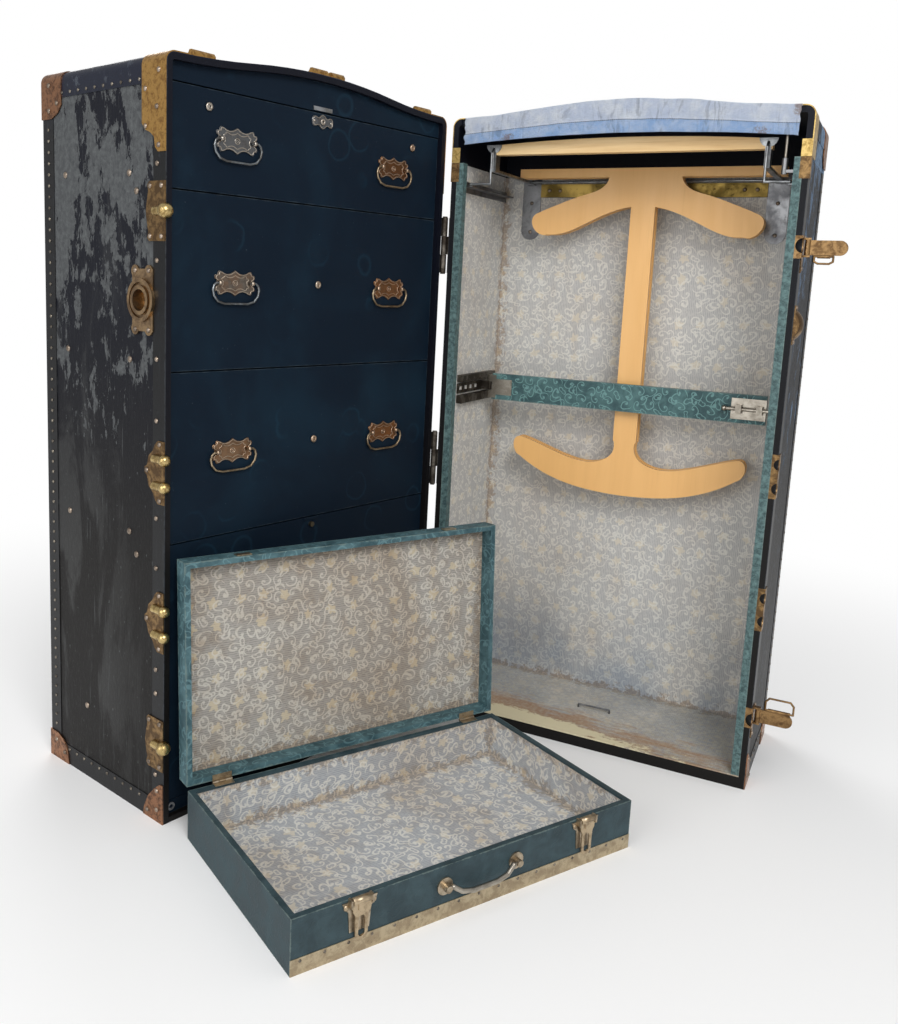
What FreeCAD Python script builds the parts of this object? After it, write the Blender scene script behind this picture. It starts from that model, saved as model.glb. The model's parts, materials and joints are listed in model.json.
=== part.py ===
import FreeCAD, Part
import math
import os

Vec = FreeCAD.Vector

# ------------------------------------------------------------------ the trunk, in mm and degrees
TRUNK_WIDTH = 545.0  # across the rim of either half
SIDE_HEIGHT = 1016.0  # straight side walls, up to where the crown starts
CROWN_RISE = 18.0
TOP_CORNER_RADIUS = 12.0
DRAWER_HALF_DEPTH = 290.0
HANGER_HALF_DEPTH = 228.0
WALL = 8.0
HANGER_FLOOR = 18.0
RIM_SETBACK = 0.5  # each rim stops this far behind the closing plane
HINGE_OFFSET = 9.0  # hinge axis beyond the outer side walls
OPEN_ANGLE = 103.58  # between the two rims as the trunk stands

# ------------------------------------------------------------------ clearances
RUN_GAP = 0.4  # between sliding wood surfaces
FRONT_GAP = 1.0  # round drawer fronts
PIN_GAP = 0.05  # round hinge pins
SEAT_GAP = 0.15  # round a piece set in its own pocket
KNOB_GAP = 0.6  # round a knob that enters the other half
REACH = 2000.0  # cutting tools run clear of the object

# ------------------------------------------------------------------ covering and hardware thickness
BINDING = 1.0
BRASS = 1.5
INLAY = 1.2
RIM_BAND = 27.0
BACK_BAND = 26.0
TOP_BAND = 34.0
FOOT_BAND = 30.0
TOP_WRAP = 36.0  # corner caps lie this far over the top or back

# ------------------------------------------------------------------ chest of drawers
FRONT_RECESS = 9.0
FRONT_THICKNESS = 10.0
FOOT_RAIL_TOP = 27.0
HEAD_RAIL = 31.0  # from the top parting line up to where the crown starts
DRAWER_SPANS = (230.0, 232.0, 130.0)  # between parting lines, lowest drawer first
DIVIDER = 5.0
DRAWER_SIDE = 6.0
DRAWER_BOTTOM = 4.0
DRAWER_HEADROOM = 8.0
GUIDE_WIDTH = 6.0
GUIDE_HEIGHT = 20.0
DRAWER_BACK_Y = 262.0
PANEL_PIVOT_RADIUS = 2.5
PANEL_PIVOT_REACH = 3.0
PANEL_PIVOT_RISE = 6.0

# ------------------------------------------------------------------ pulls
PULL_SPREAD = 156.0  # either side of the middle
PULL_RISES = (118.0, 117.0, 70.0)  # above the parting line under each drawer
PULL_WIDTH = 70.0
PULL_HEIGHT = 34.0
PLATE = 1.5
EAR_SPREAD = 28.0
EAR_WIDTH = 5.0
EAR_DEPTH = 5.4
BAIL_RADIUS = 1.6
BAIL_HALF_WIDTH = 40.0
BAIL_DROP = 27.5
STUD_RADIUS = 4.5
LOCK_RISE = 12.5  # lock plate centre below the top parting line
STRIKE_WIDTH = 37.0
STRIKE_HEIGHT = 5.5
CATCH_RADIUS = 4.0
CATCH_DROP = 11.0

# ------------------------------------------------------------------ knobs on the drawer half's rim
SINGLE_KNOBS = (114.0, SIDE_HEIGHT - 190.0)
DOUBLE_KNOBS = (289.0, 492.5)
DOUBLE_SPREAD = 18.0
SINGLE_RADIUS = 10.0
DOUBLE_RADIUS = 8.0
KNOB_OUT = 3.5  # centre outside the wall
KNOB_FORWARD = 2.0  # centre in front of the closing plane
KNOB_NECK = 6.0
KNOB_NECK_END = 20.0
KNOB_PLATE_WIDTH = 43.0
SINGLE_PLATE_HEIGHT = 74.0
DOUBLE_PLATE_HEIGHT = 84.0

# ------------------------------------------------------------------ lock
LOCK_HEIGHT = SIDE_HEIGHT - 302.0
LOCK_FROM_RIM = 51.0
LOCK_PLATE_WIDTH = 52.0
LOCK_PLATE_HEIGHT = 90.0
LOCK_RING_RADIUS = 28.0
LOCK_MOUTH_RADIUS = 14.0
LOCK_CUP_DEPTH = 12.0
LOCK_DOME_RADIUS = 26.0

# ------------------------------------------------------------------ trunk hinges
HINGE_HEIGHTS = (110.0, 455.0, SIDE_HEIGHT - 201.0)
HINGE_LENGTH = 90.0
KNUCKLE_RADIUS = 5.0
HINGE_PIN_RADIUS = 2.5
LEAF = 2.0
LEAF_START = 3.0
LEAF_END = 36.0
KNUCKLE_GAP = 0.3

# ------------------------------------------------------------------ wardrobe half
LINING = 2.0
RIM_FRAME_WIDTH = 12.0
RIM_FRAME_DEPTH = 15.0
LIFT_LINE = SIDE_HEIGHT - 68.0  # lift top parts from the body here
LIFT_GAP = 0.4
LIFT_SETBACK = 4.0  # lift top's front edge behind the rim, for the curtain
LIFT_HINGES = (90.0, TRUNK_WIDTH - 90.0)
LIFT_HINGE_LENGTH = 48.0
LIFT_KNUCKLE = 3.0
LIFT_PIN = 1.5
LIFT_AXIS_BACK = 4.5
LIFT_LEAF_HEIGHT = 26.0
END_STRIP_LOW = LIFT_LINE - 30.0
END_STRIP_HIGH = LIFT_LINE + 24.0
END_STRIP_WRAP = 14.0
STAY_X = TRUNK_WIDTH - 33.0
STAY_RADIUS = 2.0
STAY_SLEEVE = 4.0
STAY_Y = 10.0
CURTAIN_HEM = SIDE_HEIGHT - 40.0  # at the ends
CURTAIN_HEM_RISE = 11.0  # towards the middle
CURTAIN_INSET = 17.0
CURTAIN_THICKNESS = 2.7
CURTAIN_FRONT = 0.8
CURTAIN_OVER_TOP = 22.0
CURTAIN_LIFT = 0.3

# ------------------------------------------------------------------ draw bolts
BOLT_HEIGHTS = (117.0, SIDE_HEIGHT - 192.0)
BOLT_LEVERS = (50.0, 53.0)  # length of each lever
BOLT_LEVER_HEIGHT = 21.0
BOLT_LEVER_THICKNESS = 3.0
BOLT_RINGS = (19.0, -10.0)  # how far each ring stands above or below its lever
BOLT_RING_LENGTHS = (43.0, 28.0)
BOLT_RING_WIRE = 1.5
BOLT_RING_START = 10.0  # from the lever's pivot
BOLT_PIVOT_OUT = 8.0
BOLT_PIVOT_BACK = 18.0
BOLT_PIN = 2.0
BOLT_KNUCKLE = 4.0

# ------------------------------------------------------------------ trolley and hangers
TRACK_TOP = LIFT_LINE - 34.3
TRACK_REACH = 17.0
TRACK_START = 22.0
RAIL_LOW = LIFT_LINE - 11.5
RAIL_THICKNESS = 4.0
RAIL_WIDTH = 8.0
RAIL_INSET = 60.0
RAIL_END = 214.0
BAR_LOW = LIFT_LINE + 15.5
BAR_HIGH = LIFT_LINE + 30.0  # at the ends
BAR_RISE = 8.0  # towards the middle
BAR_FRONT = 30.0
BAR_DEPTH = 17.0
BAR_INSET = 54.0
PULL_WIRE = 2.0
PULL_WIRE_OUT = 25.0
PULL_WIRE_Y = 20.0
HALF_ROUND = 13.0
BACK_RAIL_LOW = LIFT_LINE - 35.0
BACK_RAIL_HIGH = LIFT_LINE - 12.0
BACK_RAIL_INSET = 79.0
BACK_BRACKET_LOW = LIFT_LINE - 110.0
BACK_BRACKET_HIGH = LIFT_LINE + 5.0
BACK_BRACKET_WIDTH = 34.0
HANGER_PLY = 8.0
HANGER_PLANES = (160.0, 176.0)
HANGER_SHIFT = 6.0  # hangers stand off the middle
HANGER_BAR_HALF = 220.0
HANGER_BAR_HEIGHT = 15.0
STEM_HALF = 20.0
STEM_HEAD = 41.0
STEM_FOOT = 446.0
# hanger outlines: out from the middle, down from the underside of its bar
ARM_TOP = ((60.0, -1.0), (66.0, 12.0), (105.0, 30.0), (153.0, 47.0), (182.0, 59.0))
ARM_TIP = ((182.0, 59.0), (193.5, 73.0), (186.0, 90.0), (164.0, 96.0))
ARM_UNDER = ((164.0, 96.0), (138.0, 94.0), (88.0, 72.5), (54.0, 57.5), (0.0, 48.0))
CRESCENT_TOP = ((STEM_HALF, 441.0), (24.0, 473.0), (52.0, 487.0), (95.0, 485.0), (150.0, 468.0), (186.0, 457.0))
CRESCENT_TIP = ((186.0, 457.0), (199.0, 460.0), (202.0, 473.0), (190.0, 491.0))
CRESCENT_UNDER = ((190.0, 491.0), (150.0, 514.0), (95.0, 532.0), (45.0, 539.0), (0.0, 541.0))

# ------------------------------------------------------------------ clothes retaining bar
KEEP_LOW = LIFT_LINE - 399.0
KEEP_HIGH = LIFT_LINE - 352.0
KEEP_Y = 144.0
KEEP_THICKNESS = 8.0
KEEP_START = 34.0
KEEP_END = TRUNK_WIDTH - 39.0
KEEP_PIVOT_X = 28.0
KEEP_PIN = 2.0
KEEP_KNUCKLE = 4.5
KEEP_MARGIN = 3.0  # hinge knuckles stop this far inside the bar's edges
KEEP_RUN = 0.5  # between the knuckles and the lug
KEEP_LUG_LOW = 17.0  # above the bar's lower edge
KEEP_LUG_HIGH = 31.0
KEEP_PLATE_LOW = 16.0
KEEP_PLATE_HIGH = 33.0
KEEP_SLOTS = (48.0, 70.0, 92.0, 114.0)
KEEP_SLOT_LENGTH = 14.0
KEEP_SLOT_MARGIN = 5.0
CLEATS = ((-1.0, 13.0), (36.0, 48.0))  # above the bar's lower edge
CLEAT_START = 40.0
CLEAT_END = 190.0
CLEAT_DEPTH = 10.0
KEEP_STRAP = 38.0
BOLT_PLATE_LENGTH = 54.0
SLIDE_BOLT_RADIUS = 3.0
SLIDE_BOLT_TIP = TRUNK_WIDTH - 18.0

# ------------------------------------------------------------------ fitted case
CASE_LENGTH = 515.0
CASE_DEPTH = 306.0
CASE_BASE_HEIGHT = 69.0
CASE_LID_HEIGHT = 28.0
CASE_WALL = 8.0
CASE_FLOOR = 5.0
CASE_PANEL = 4.0
CASE_RIM_GAP = 1.6
CASE_LID_ANGLE = 93.0
CASE_TURN = 16.14  # how far the case is turned from the trunk
CASE_FROM_HINGE = TRUNK_WIDTH + 6.2  # its back left corner, from the trunk's hinge axis
CASE_FROM_RIM = 49.0
CASE_HINGES = (50.0, CASE_LENGTH - 50.0)
CASE_HINGE_LENGTH = 28.0
CASE_AXIS_BACK = 2.5
CASE_KNUCKLE = 2.1
CASE_PIN = 1.0
CASE_LEAF = 0.6
CASE_LATCHES = (86.0, CASE_LENGTH - 86.0)
LATCH_WIDTH = 24.0
LATCH_LOW = 19.0
LATCH_HIGH = 73.0
LATCH_PIVOT_RISE = 68.5
LATCH_PIVOT_OUT = 5.5
LATCH_PIN = 1.5
LATCH_EAR_WIDTH = 46.0
HANDLE_POSTS = (204.5, 313.6)
HANDLE_RISE = 43.0
HANDLE_OUT = 7.0
HANDLE_WIRE = 3.2
HANDLE_DROP = 11.0
HANDLE_PIN = 2.0
WASHER_RADIUS = 11.0
FOOT_STRIP_HEIGHT = 20.0
FOOT_STRIP = 0.8

# ------------------------------------------------------------------ worked-out values
MIDDLE = TRUNK_WIDTH / 2
DRAWER_LINES = tuple(
    SIDE_HEIGHT - HEAD_RAIL - sum(DRAWER_SPANS[index:]) for index in range(len(DRAWER_SPANS) + 1)
)  # parting lines between the fronts
PULL_HEIGHTS = tuple(line + rise for line, rise in zip(DRAWER_LINES, PULL_RISES))
CROWN_RADIUS = (MIDDLE**2 + CROWN_RISE**2) / (4 * CROWN_RISE)
FRONT_BACK = FRONT_RECESS + FRONT_THICKNESS
INNER_SIDE = WALL + LINING
INNER_BACK = HANGER_HALF_DEPTH - WALL - LINING
HINGE_AXIS = Vec(MIDDLE + HINGE_OFFSET, -DRAWER_HALF_DEPTH / 2, 0)
LIFT_AXIS_Y = HANGER_HALF_DEPTH + LIFT_AXIS_BACK
LIFT_AXIS_Z = LIFT_LINE + LIFT_GAP / 2
CASE_AXIS_Z = CASE_BASE_HEIGHT + CASE_RIM_GAP / 2
LID_LOW = CASE_BASE_HEIGHT + CASE_RIM_GAP
LID_HIGH = LID_LOW + CASE_LID_HEIGHT
UP = Vec(0, 0, 1)


def turned(angle):
    return FreeCAD.Placement(Vec(0, 0, 0), FreeCAD.Rotation(UP, angle))


def moved(x, y, z=0.0):
    return FreeCAD.Placement(Vec(x, y, z), FreeCAD.Rotation())


DRAWER_FRAME = moved(-MIDDLE, -DRAWER_HALF_DEPTH / 2)
HANGER_FRAME = moved(HINGE_AXIS.x, HINGE_AXIS.y) * turned(OPEN_ANGLE - 180) * moved(HINGE_OFFSET, 0)
CASE_FRAME = moved(HINGE_AXIS.x - CASE_FROM_HINGE, HINGE_AXIS.y - CASE_FROM_RIM) * turned(-CASE_TURN)
LID_SWING = FreeCAD.Placement(
    Vec(0, 0, 0), FreeCAD.Rotation(Vec(1, 0, 0), -CASE_LID_ANGLE), Vec(0, CASE_AXIS_BACK, CASE_AXIS_Z)
)
LID_FRAME = CASE_FRAME * LID_SWING


# ------------------------------------------------------------------ shape helpers
def box(x0, x1, y0, y1, z0, z1):
    return Part.makeBox(x1 - x0, y1 - y0, z1 - z0, Vec(x0, y0, z0))


def on_plane(plane, a, b, c):
    """Point from two in-plane values and one across the plane."""
    return {"xy": Vec(a, b, c), "xz": Vec(a, c, b), "yz": Vec(c, a, b)}[plane]


def prism(plane, points, low, high):
    corners = [on_plane(plane, a, b, low) for a, b in points]
    face = Part.Face(Part.makePolygon(corners + corners[:1]))
    return face.extrude(on_plane(plane, 0, 0, high - low))


def disc(plane, a, b, radius, low, high):
    return Part.makeCylinder(radius, high - low, on_plane(plane, a, b, low), on_plane(plane, 0, 0, 1))


def rod(start, end, radius):
    path = Vec(*end) - Vec(*start)
    return Part.makeCylinder(radius, path.Length, Vec(*start), path)


def fuse(pieces):
    return pieces[0].multiFuse(pieces[1:]) if len(pieces) > 1 else pieces[0]


def wire(points, radius):
    """Round wire bent through the points."""
    runs = [rod(a, b, radius) for a, b in zip(points, points[1:])]
    bends = [Part.makeSphere(radius, Vec(*p)) for p in points[1:-1]]
    return fuse(runs + bends)


def closed_form(edges, depth):
    return Part.Face(Part.Wire(Part.__sortEdges__(edges))).extrude(Vec(0, depth, 0))


def under_arc(x0, x1, z, rise, foot, y0, y1):
    """Solid from a flat foot up to an arc that starts and ends at height z and rises in the middle."""
    left, right = Vec(x0, y0, z), Vec(x1, y0, z)
    low_left, low_right = Vec(x0, y0, foot), Vec(x1, y0, foot)
    arc = Part.Arc(left, Vec((x0 + x1) / 2, y0, z + rise), right).toShape()
    sides = [Part.makeLine(right, low_right), Part.makeLine(low_right, low_left), Part.makeLine(low_left, left)]
    return closed_form([arc] + sides, y1 - y0)


def across(piece, width=TRUNK_WIDTH):
    """The piece and its mirror image about the middle of a width."""
    return [piece, piece.mirror(Vec(width / 2, 0, 0), Vec(1, 0, 0))]


def crown_z(x, inset=0.0):
    """Height of the crown line at x, with the line moved inward by inset."""
    from_middle = abs(x - MIDDLE)
    crest_half = (CROWN_RADIUS - inset) * (MIDDLE / 2) / CROWN_RADIUS
    if from_middle <= crest_half:
        fall = math.sqrt((CROWN_RADIUS - inset) ** 2 - from_middle**2)
        return SIDE_HEIGHT + CROWN_RISE - CROWN_RADIUS + fall
    to_side = MIDDLE - from_middle
    return SIDE_HEIGHT + CROWN_RADIUS - math.sqrt((CROWN_RADIUS + inset) ** 2 - to_side**2)


def crowned(inset, y0, y1, floor=0.0):
    """Solid under the crown line, with walls, crown and top corners moved inward by inset."""
    crest_half = (CROWN_RADIUS - inset) * (MIDDLE / 2) / CROWN_RADIUS
    stops = [TRUNK_WIDTH - inset, MIDDLE + crest_half, MIDDLE - crest_half, inset]
    top = [Vec(x, y0, crown_z(x, inset)) for x in stops]
    foot = [Vec(inset, y0, floor), Vec(TRUNK_WIDTH - inset, y0, floor)]
    edges = [Part.makeLine(top[-1], foot[0]), Part.makeLine(foot[0], foot[1]), Part.makeLine(foot[1], top[0])]
    for a, b in zip(top, top[1:]):
        half_way = (a.x + b.x) / 2
        edges.append(Part.Arc(a, Vec(half_way, y0, crown_z(half_way, inset)), b).toShape())
    solid = closed_form(edges, y1 - y0)
    radius = TOP_CORNER_RADIUS - inset
    if radius <= 0:
        return solid
    corner_z = top[0].z
    corners = [
        edge
        for edge in solid.Edges
        if abs(edge.CenterOfMass.z - corner_z) < 1e-3 and abs(edge.Length - (y1 - y0)) < 1e-3
        and abs(abs(edge.CenterOfMass.x - MIDDLE) - (MIDDLE - inset)) < 1e-3
    ]
    return solid.makeFillet(radius, corners)


def skin(depth, low, high):
    """Layer over sides, top and back of a half, between two heights above its wall."""
    outer = crowned(-high, RIM_SETBACK, depth + high)
    return outer.cut(crowned(-low, RIM_SETBACK - 1, depth + low))


def half_shell(depth, floor):
    outer = crowned(0, RIM_SETBACK, depth)
    return outer.cut(crowned(WALL, RIM_SETBACK - 1, depth - WALL, floor))


def binding(depth):
    """Fibre strips round all edges of a half."""
    layer = skin(depth, 0, BINDING)
    side_window = box(-REACH, REACH, RIM_BAND, depth - BACK_BAND, FOOT_BAND, SIDE_HEIGHT - TOP_BAND)
    back_window = crowned(BACK_BAND, depth - 1, depth + REACH, FOOT_BAND)
    top_window = box(BACK_BAND, TRUNK_WIDTH - BACK_BAND, RIM_BAND, depth - BACK_BAND, SIDE_HEIGHT / 2, REACH)
    return layer.cut([side_window, back_window, top_window])


def corner_caps(depth):
    """Sheet brass caps at the eight corners of a half, on top of the binding."""
    rim = RIM_SETBACK
    back = depth + BINDING + BRASS
    top = SIDE_HEIGHT
    strap = [(rim, top - 118), (16, top - 118), (22, top - 112), (24, top - 100), (32, top - 94), (43, top - 90),
             (50, top - 82), (50, REACH), (rim, REACH)]
    leaf = [(rim, 0), (46, 0), (44, 12), (34, 32), (20, 47), (8, 57), (rim, 58)]
    back_top = [(depth - 49, REACH), (depth - 49, top - 44), (depth - 40, top - 54), (depth - 24, top - 61),
                (back, top - 61), (back, REACH)]
    back_foot = [(depth - 50, 0), (back, 0), (back, 42), (depth - 18, 42), (depth - 34, 36), (depth - 46, 22)]
    layer = skin(depth, BINDING, BINDING + BRASS)
    caps = []
    for outline in (strap, leaf, back_top, back_foot):
        caps += across(layer.common(prism("yz", outline, -REACH, TOP_WRAP)))
    return caps


def knob_centres():
    """Every guide knob as (height, radius)."""
    singles = [(z, SINGLE_RADIUS) for z in SINGLE_KNOBS]
    doubles = [(z + side * DOUBLE_SPREAD, DOUBLE_RADIUS) for z in DOUBLE_KNOBS for side in (-1, 1)]
    return singles + doubles


def knob(z, radius, grow=0.0):
    ball = Part.makeSphere(radius + grow, Vec(-KNOB_OUT, -KNOB_FORWARD, z))
    neck = rod((-KNOB_OUT, 0, z), (-KNOB_OUT, KNOB_NECK_END + grow, z), KNOB_NECK + grow)
    return ball.fuse(neck)


def knob_pockets():
    return [knob(z, radius, SEAT_GAP) for z, radius in knob_centres()]


def far_knob_pockets():
    """Where the closed drawer half's knobs enter the wardrobe half's rim."""
    centre_x = TRUNK_WIDTH + KNOB_OUT
    return [Part.makeSphere(radius + KNOB_GAP, Vec(centre_x, KNOB_FORWARD, z)) for z, radius in knob_centres()]


# ------------------------------------------------------------------ drawer half
def lock_cup():
    return disc("yz", LOCK_FROM_RIM, LOCK_HEIGHT, LOCK_MOUTH_RADIUS + 2, -BINDING, LOCK_CUP_DEPTH)


def panel_pivots(grow=0.0):
    y = FRONT_RECESS + FRONT_THICKNESS / 2
    z = FOOT_RAIL_TOP + FRONT_GAP + PANEL_PIVOT_RISE
    inside = WALL + FRONT_GAP + 1
    pin = rod((WALL - PANEL_PIVOT_REACH - grow, y, z), (inside, y, z), PANEL_PIVOT_RADIUS + grow)
    return across(pin)


def drawer_half_shell():
    return half_shell(DRAWER_HALF_DEPTH, WALL).cut(knob_pockets() + [lock_cup()] + panel_pivots(PIN_GAP))


def drawer_half_binding():
    return binding(DRAWER_HALF_DEPTH).cut(knob_pockets() + [lock_socket()])


def top_clips():
    """Low sprung brass clips along the top edge of the rim."""
    clips = []
    for x, width in ((57, 36), (261, 30), (296, 26), (490, 36)):
        base = crown_z(x, -BINDING)
        outline = [(2, -4), (16, -4), (16, 2), (12, 3), (9, 7.5), (5, 7.5), (2, 4)]
        block = prism("yz", [(y, base + rise) for y, rise in outline], x - width / 2, x + width / 2)
        clips.append(block.cut(crowned(-BINDING, 0, DRAWER_HALF_DEPTH)))
    return clips


def knob_plate_outline(height, single):
    """Half plate from the rim back, mirrored about its middle height by the caller."""
    half = height / 2
    if single:
        return [(RIM_SETBACK, half), (34, half), (38, half - 4), (36, half - 12), (KNOB_PLATE_WIDTH - 3, 8),
                (KNOB_PLATE_WIDTH - 2, 0)]
    return [(RIM_SETBACK, half), (14, half), (20, half - 5), (25, half - 14), (34, half - 22), (38, 7),
            (KNOB_PLATE_WIDTH, 4), (KNOB_PLATE_WIDTH, 0)]


def knob_plates():
    plates = []
    for heights, size, single in ((SINGLE_KNOBS, SINGLE_PLATE_HEIGHT, True), (DOUBLE_KNOBS, DOUBLE_PLATE_HEIGHT, False)):
        upper = knob_plate_outline(size, single)
        lower = [(y, -z) for y, z in reversed(upper[:-1])]
        for middle in heights:
            outline = [(y, middle + z) for y, z in upper + lower]
            plate = prism("yz", outline, -BINDING - BRASS, -BINDING)
            plates.append(plate.cut(knob_pockets()))
    return plates


def guide_knobs():
    return [knob(z, radius) for z, radius in knob_centres()]


def lock_socket():
    """Oval socket plate with two rings round a deep mouth."""
    y, z = LOCK_FROM_RIM, LOCK_HEIGHT
    front = -BINDING - BRASS
    straight = y - LOCK_RING_RADIUS
    body = box(front, 0, straight + 3, y + LOCK_PLATE_WIDTH / 2 - 6, z - LOCK_PLATE_HEIGHT / 2 + 5,
               z + LOCK_PLATE_HEIGHT / 2 - 5)
    lobes = [
        disc("yz", y + dy, z + dz, 8, front, 0)
        for dy in (-16, 14)
        for dz in (-LOCK_PLATE_HEIGHT / 2 + 8, LOCK_PLATE_HEIGHT / 2 - 8)
    ]
    outer_ring = disc("yz", y, z, LOCK_RING_RADIUS, front - 3, 0)
    outer_ring = outer_ring.cut(disc("yz", y, z, LOCK_RING_RADIUS - 5, front - 4, front))
    inner_ring = disc("yz", y, z, LOCK_MOUTH_RADIUS + 5, front - 4, 0)
    cup = disc("yz", y, z, LOCK_MOUTH_RADIUS + 2 - SEAT_GAP, front, LOCK_CUP_DEPTH)
    socket = fuse([body, outer_ring, inner_ring, cup] + lobes)
    mouth = disc("yz", y, z, LOCK_MOUTH_RADIUS, front - 5, LOCK_CUP_DEPTH - 2)
    trim = box(-REACH, REACH, -REACH, straight, 0, REACH)
    return socket.cut([mouth, trim])


def front_rails():
    """Fixed rails above the top drawer and below the drop front."""
    y0, y1 = FRONT_RECESS, FRONT_BACK
    head = crowned(WALL, y0, y1, DRAWER_LINES[-1] + FRONT_GAP)
    foot = box(WALL, TRUNK_WIDTH - WALL, y0, y1, WALL, FOOT_RAIL_TOP)
    return [head, foot]


def cabinet_frame():
    """Dust dividers the drawers slide on, with side guides."""
    pieces = []
    y0, y1 = FRONT_BACK + FRONT_GAP, DRAWER_HALF_DEPTH - WALL
    for line in DRAWER_LINES:
        pieces.append(box(WALL, TRUNK_WIDTH - WALL, y0, y1, line - DIVIDER / 2, line + DIVIDER / 2))
    for line in DRAWER_LINES[:-1]:
        guide_low = line + DIVIDER / 2
        pieces += across(box(WALL, WALL + GUIDE_WIDTH - RUN_GAP, y0, y1, guide_low, guide_low + GUIDE_HEIGHT))
    return pieces


def strike_plates():
    """Lock strike on the head rail, strike of the drop front, and the grommet in the foot rail."""
    y1 = FRONT_RECESS
    head_z = DRAWER_LINES[-1] + FRONT_GAP + 1
    head = box(MIDDLE - STRIKE_WIDTH / 2, MIDDLE + STRIKE_WIDTH / 2, y1 - PLATE, y1, head_z, head_z + STRIKE_HEIGHT)
    grommet = disc("xz", WALL + 9, WALL + 10, 6, y1 - PLATE, y1)
    return [head, grommet.cut(disc("xz", WALL + 9, WALL + 10, 3, 0, y1))]


def hinge_leaf(fixed):
    """One leaf set of the three trunk hinges, in the frame of its own half."""
    side = 1 if fixed else -1
    wall_face = TRUNK_WIDTH + BINDING if fixed else -BINDING
    axis_x = TRUNK_WIDTH + HINGE_OFFSET if fixed else -HINGE_OFFSET
    third = HINGE_LENGTH / 3
    leaves = []
    for middle in HINGE_HEIGHTS:
        low, high = middle - HINGE_LENGTH / 2, middle + HINGE_LENGTH / 2
        x0, x1 = sorted((wall_face, wall_face + side * LEAF))
        leaf = box(x0, x1, LEAF_START, LEAF_END, low, high)
        pieces = [leaf]
        spans = ((low, low + third), (high - third, high)) if fixed else (
            (low + third + KNUCKLE_GAP, high - third - KNUCKLE_GAP),)
        for z0, z1 in spans:
            a, b = sorted((wall_face, axis_x))
            pieces.append(box(a, b, LEAF_START, LEAF_START + LEAF, z0, z1))
            pieces.append(rod((axis_x, 0, z0), (axis_x, 0, z1), KNUCKLE_RADIUS))
        bore = rod((axis_x, 0, low - 1), (axis_x, 0, high + 1), HINGE_PIN_RADIUS + PIN_GAP)
        leaves.append(fuse(pieces).cut(bore))
    return leaves


def hinge_pins():
    axis_x = TRUNK_WIDTH + HINGE_OFFSET
    pins = []
    for middle in HINGE_HEIGHTS:
        low, high = middle - HINGE_LENGTH / 2, middle + HINGE_LENGTH / 2
        shaft = rod((axis_x, 0, low), (axis_x, 0, high), HINGE_PIN_RADIUS)
        head = rod((axis_x, 0, high), (axis_x, 0, high + 2), KNUCKLE_RADIUS - 1)
        foot = rod((axis_x, 0, low - 2), (axis_x, 0, low), KNUCKLE_RADIUS - 1)
        pins.append(fuse([shaft, head, foot]))
    return pins


def drawer_span(index):
    return DRAWER_LINES[index] + FRONT_GAP, DRAWER_LINES[index + 1] - FRONT_GAP


def drawer_box(index):
    low = DRAWER_LINES[index] + DIVIDER / 2 + RUN_GAP
    high = DRAWER_LINES[index + 1] - DIVIDER / 2 - DRAWER_HEADROOM
    left = WALL + GUIDE_WIDTH
    right = TRUNK_WIDTH - left
    outer = box(left, right, FRONT_BACK, DRAWER_BACK_Y, low, high)
    inner = box(left + DRAWER_SIDE, right - DRAWER_SIDE, FRONT_BACK + DRAWER_SIDE, DRAWER_BACK_Y - DRAWER_SIDE,
                low + DRAWER_BOTTOM, high + 1)
    return outer.cut(inner)


def drawer_front(index):
    low, high = drawer_span(index)
    side = WALL + FRONT_GAP
    return box(side, TRUNK_WIDTH - side, FRONT_RECESS, FRONT_BACK, low, high)


def pull_plate(x, z):
    """Scalloped plate with two ears that carry the bail."""
    y1 = FRONT_RECESS
    y0 = y1 - PLATE
    spread = PULL_WIDTH / 2
    lobes = [disc("xz", x + side * (spread - 9), z + rise, 9, y0, y1) for side in (-1, 1) for rise in (-6, 6)]
    lobes += [disc("xz", x, z, PULL_HEIGHT / 2, y0, y1)]
    lobes += [disc("xz", x + side * 16, z + rise, 5, y0, y1) for side in (-1, 1) for rise in (-10, 10)]
    body = box(x - spread + 9, x + spread - 9, y0, y1, z - 11, z + 11)
    plate = fuse([body] + lobes)
    pivot_y = bail_axis_y()
    ears = [
        box(x + side * EAR_SPREAD - EAR_WIDTH / 2, x + side * EAR_SPREAD + EAR_WIDTH / 2, y0 - EAR_DEPTH, y0, z - 3, z + 3)
        for side in (-1, 1)
    ]
    bore = rod((x - spread, pivot_y, z), (x + spread, pivot_y, z), BAIL_RADIUS + PIN_GAP)
    return fuse([plate] + ears).cut(bore)


def bail_axis_y():
    return FRONT_RECESS - PLATE - EAR_DEPTH / 2 - 0.2


def bail(x, z):
    """Bent wire bail whose two ends turn in through the ears."""
    y = bail_axis_y()
    half = [(EAR_SPREAD - 4, 0), (EAR_SPREAD + 6, 0), (BAIL_HALF_WIDTH - 2, -3), (BAIL_HALF_WIDTH, -9),
            (BAIL_HALF_WIDTH - 2, -17), (BAIL_HALF_WIDTH - 9, -BAIL_DROP + 3), (BAIL_HALF_WIDTH - 20, -BAIL_DROP)]
    right = [(x + dx, y, z + dz) for dx, dz in half]
    left = [(x - dx, y, z + dz) for dx, dz in reversed(half)]
    return wire(right + left, BAIL_RADIUS)


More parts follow.
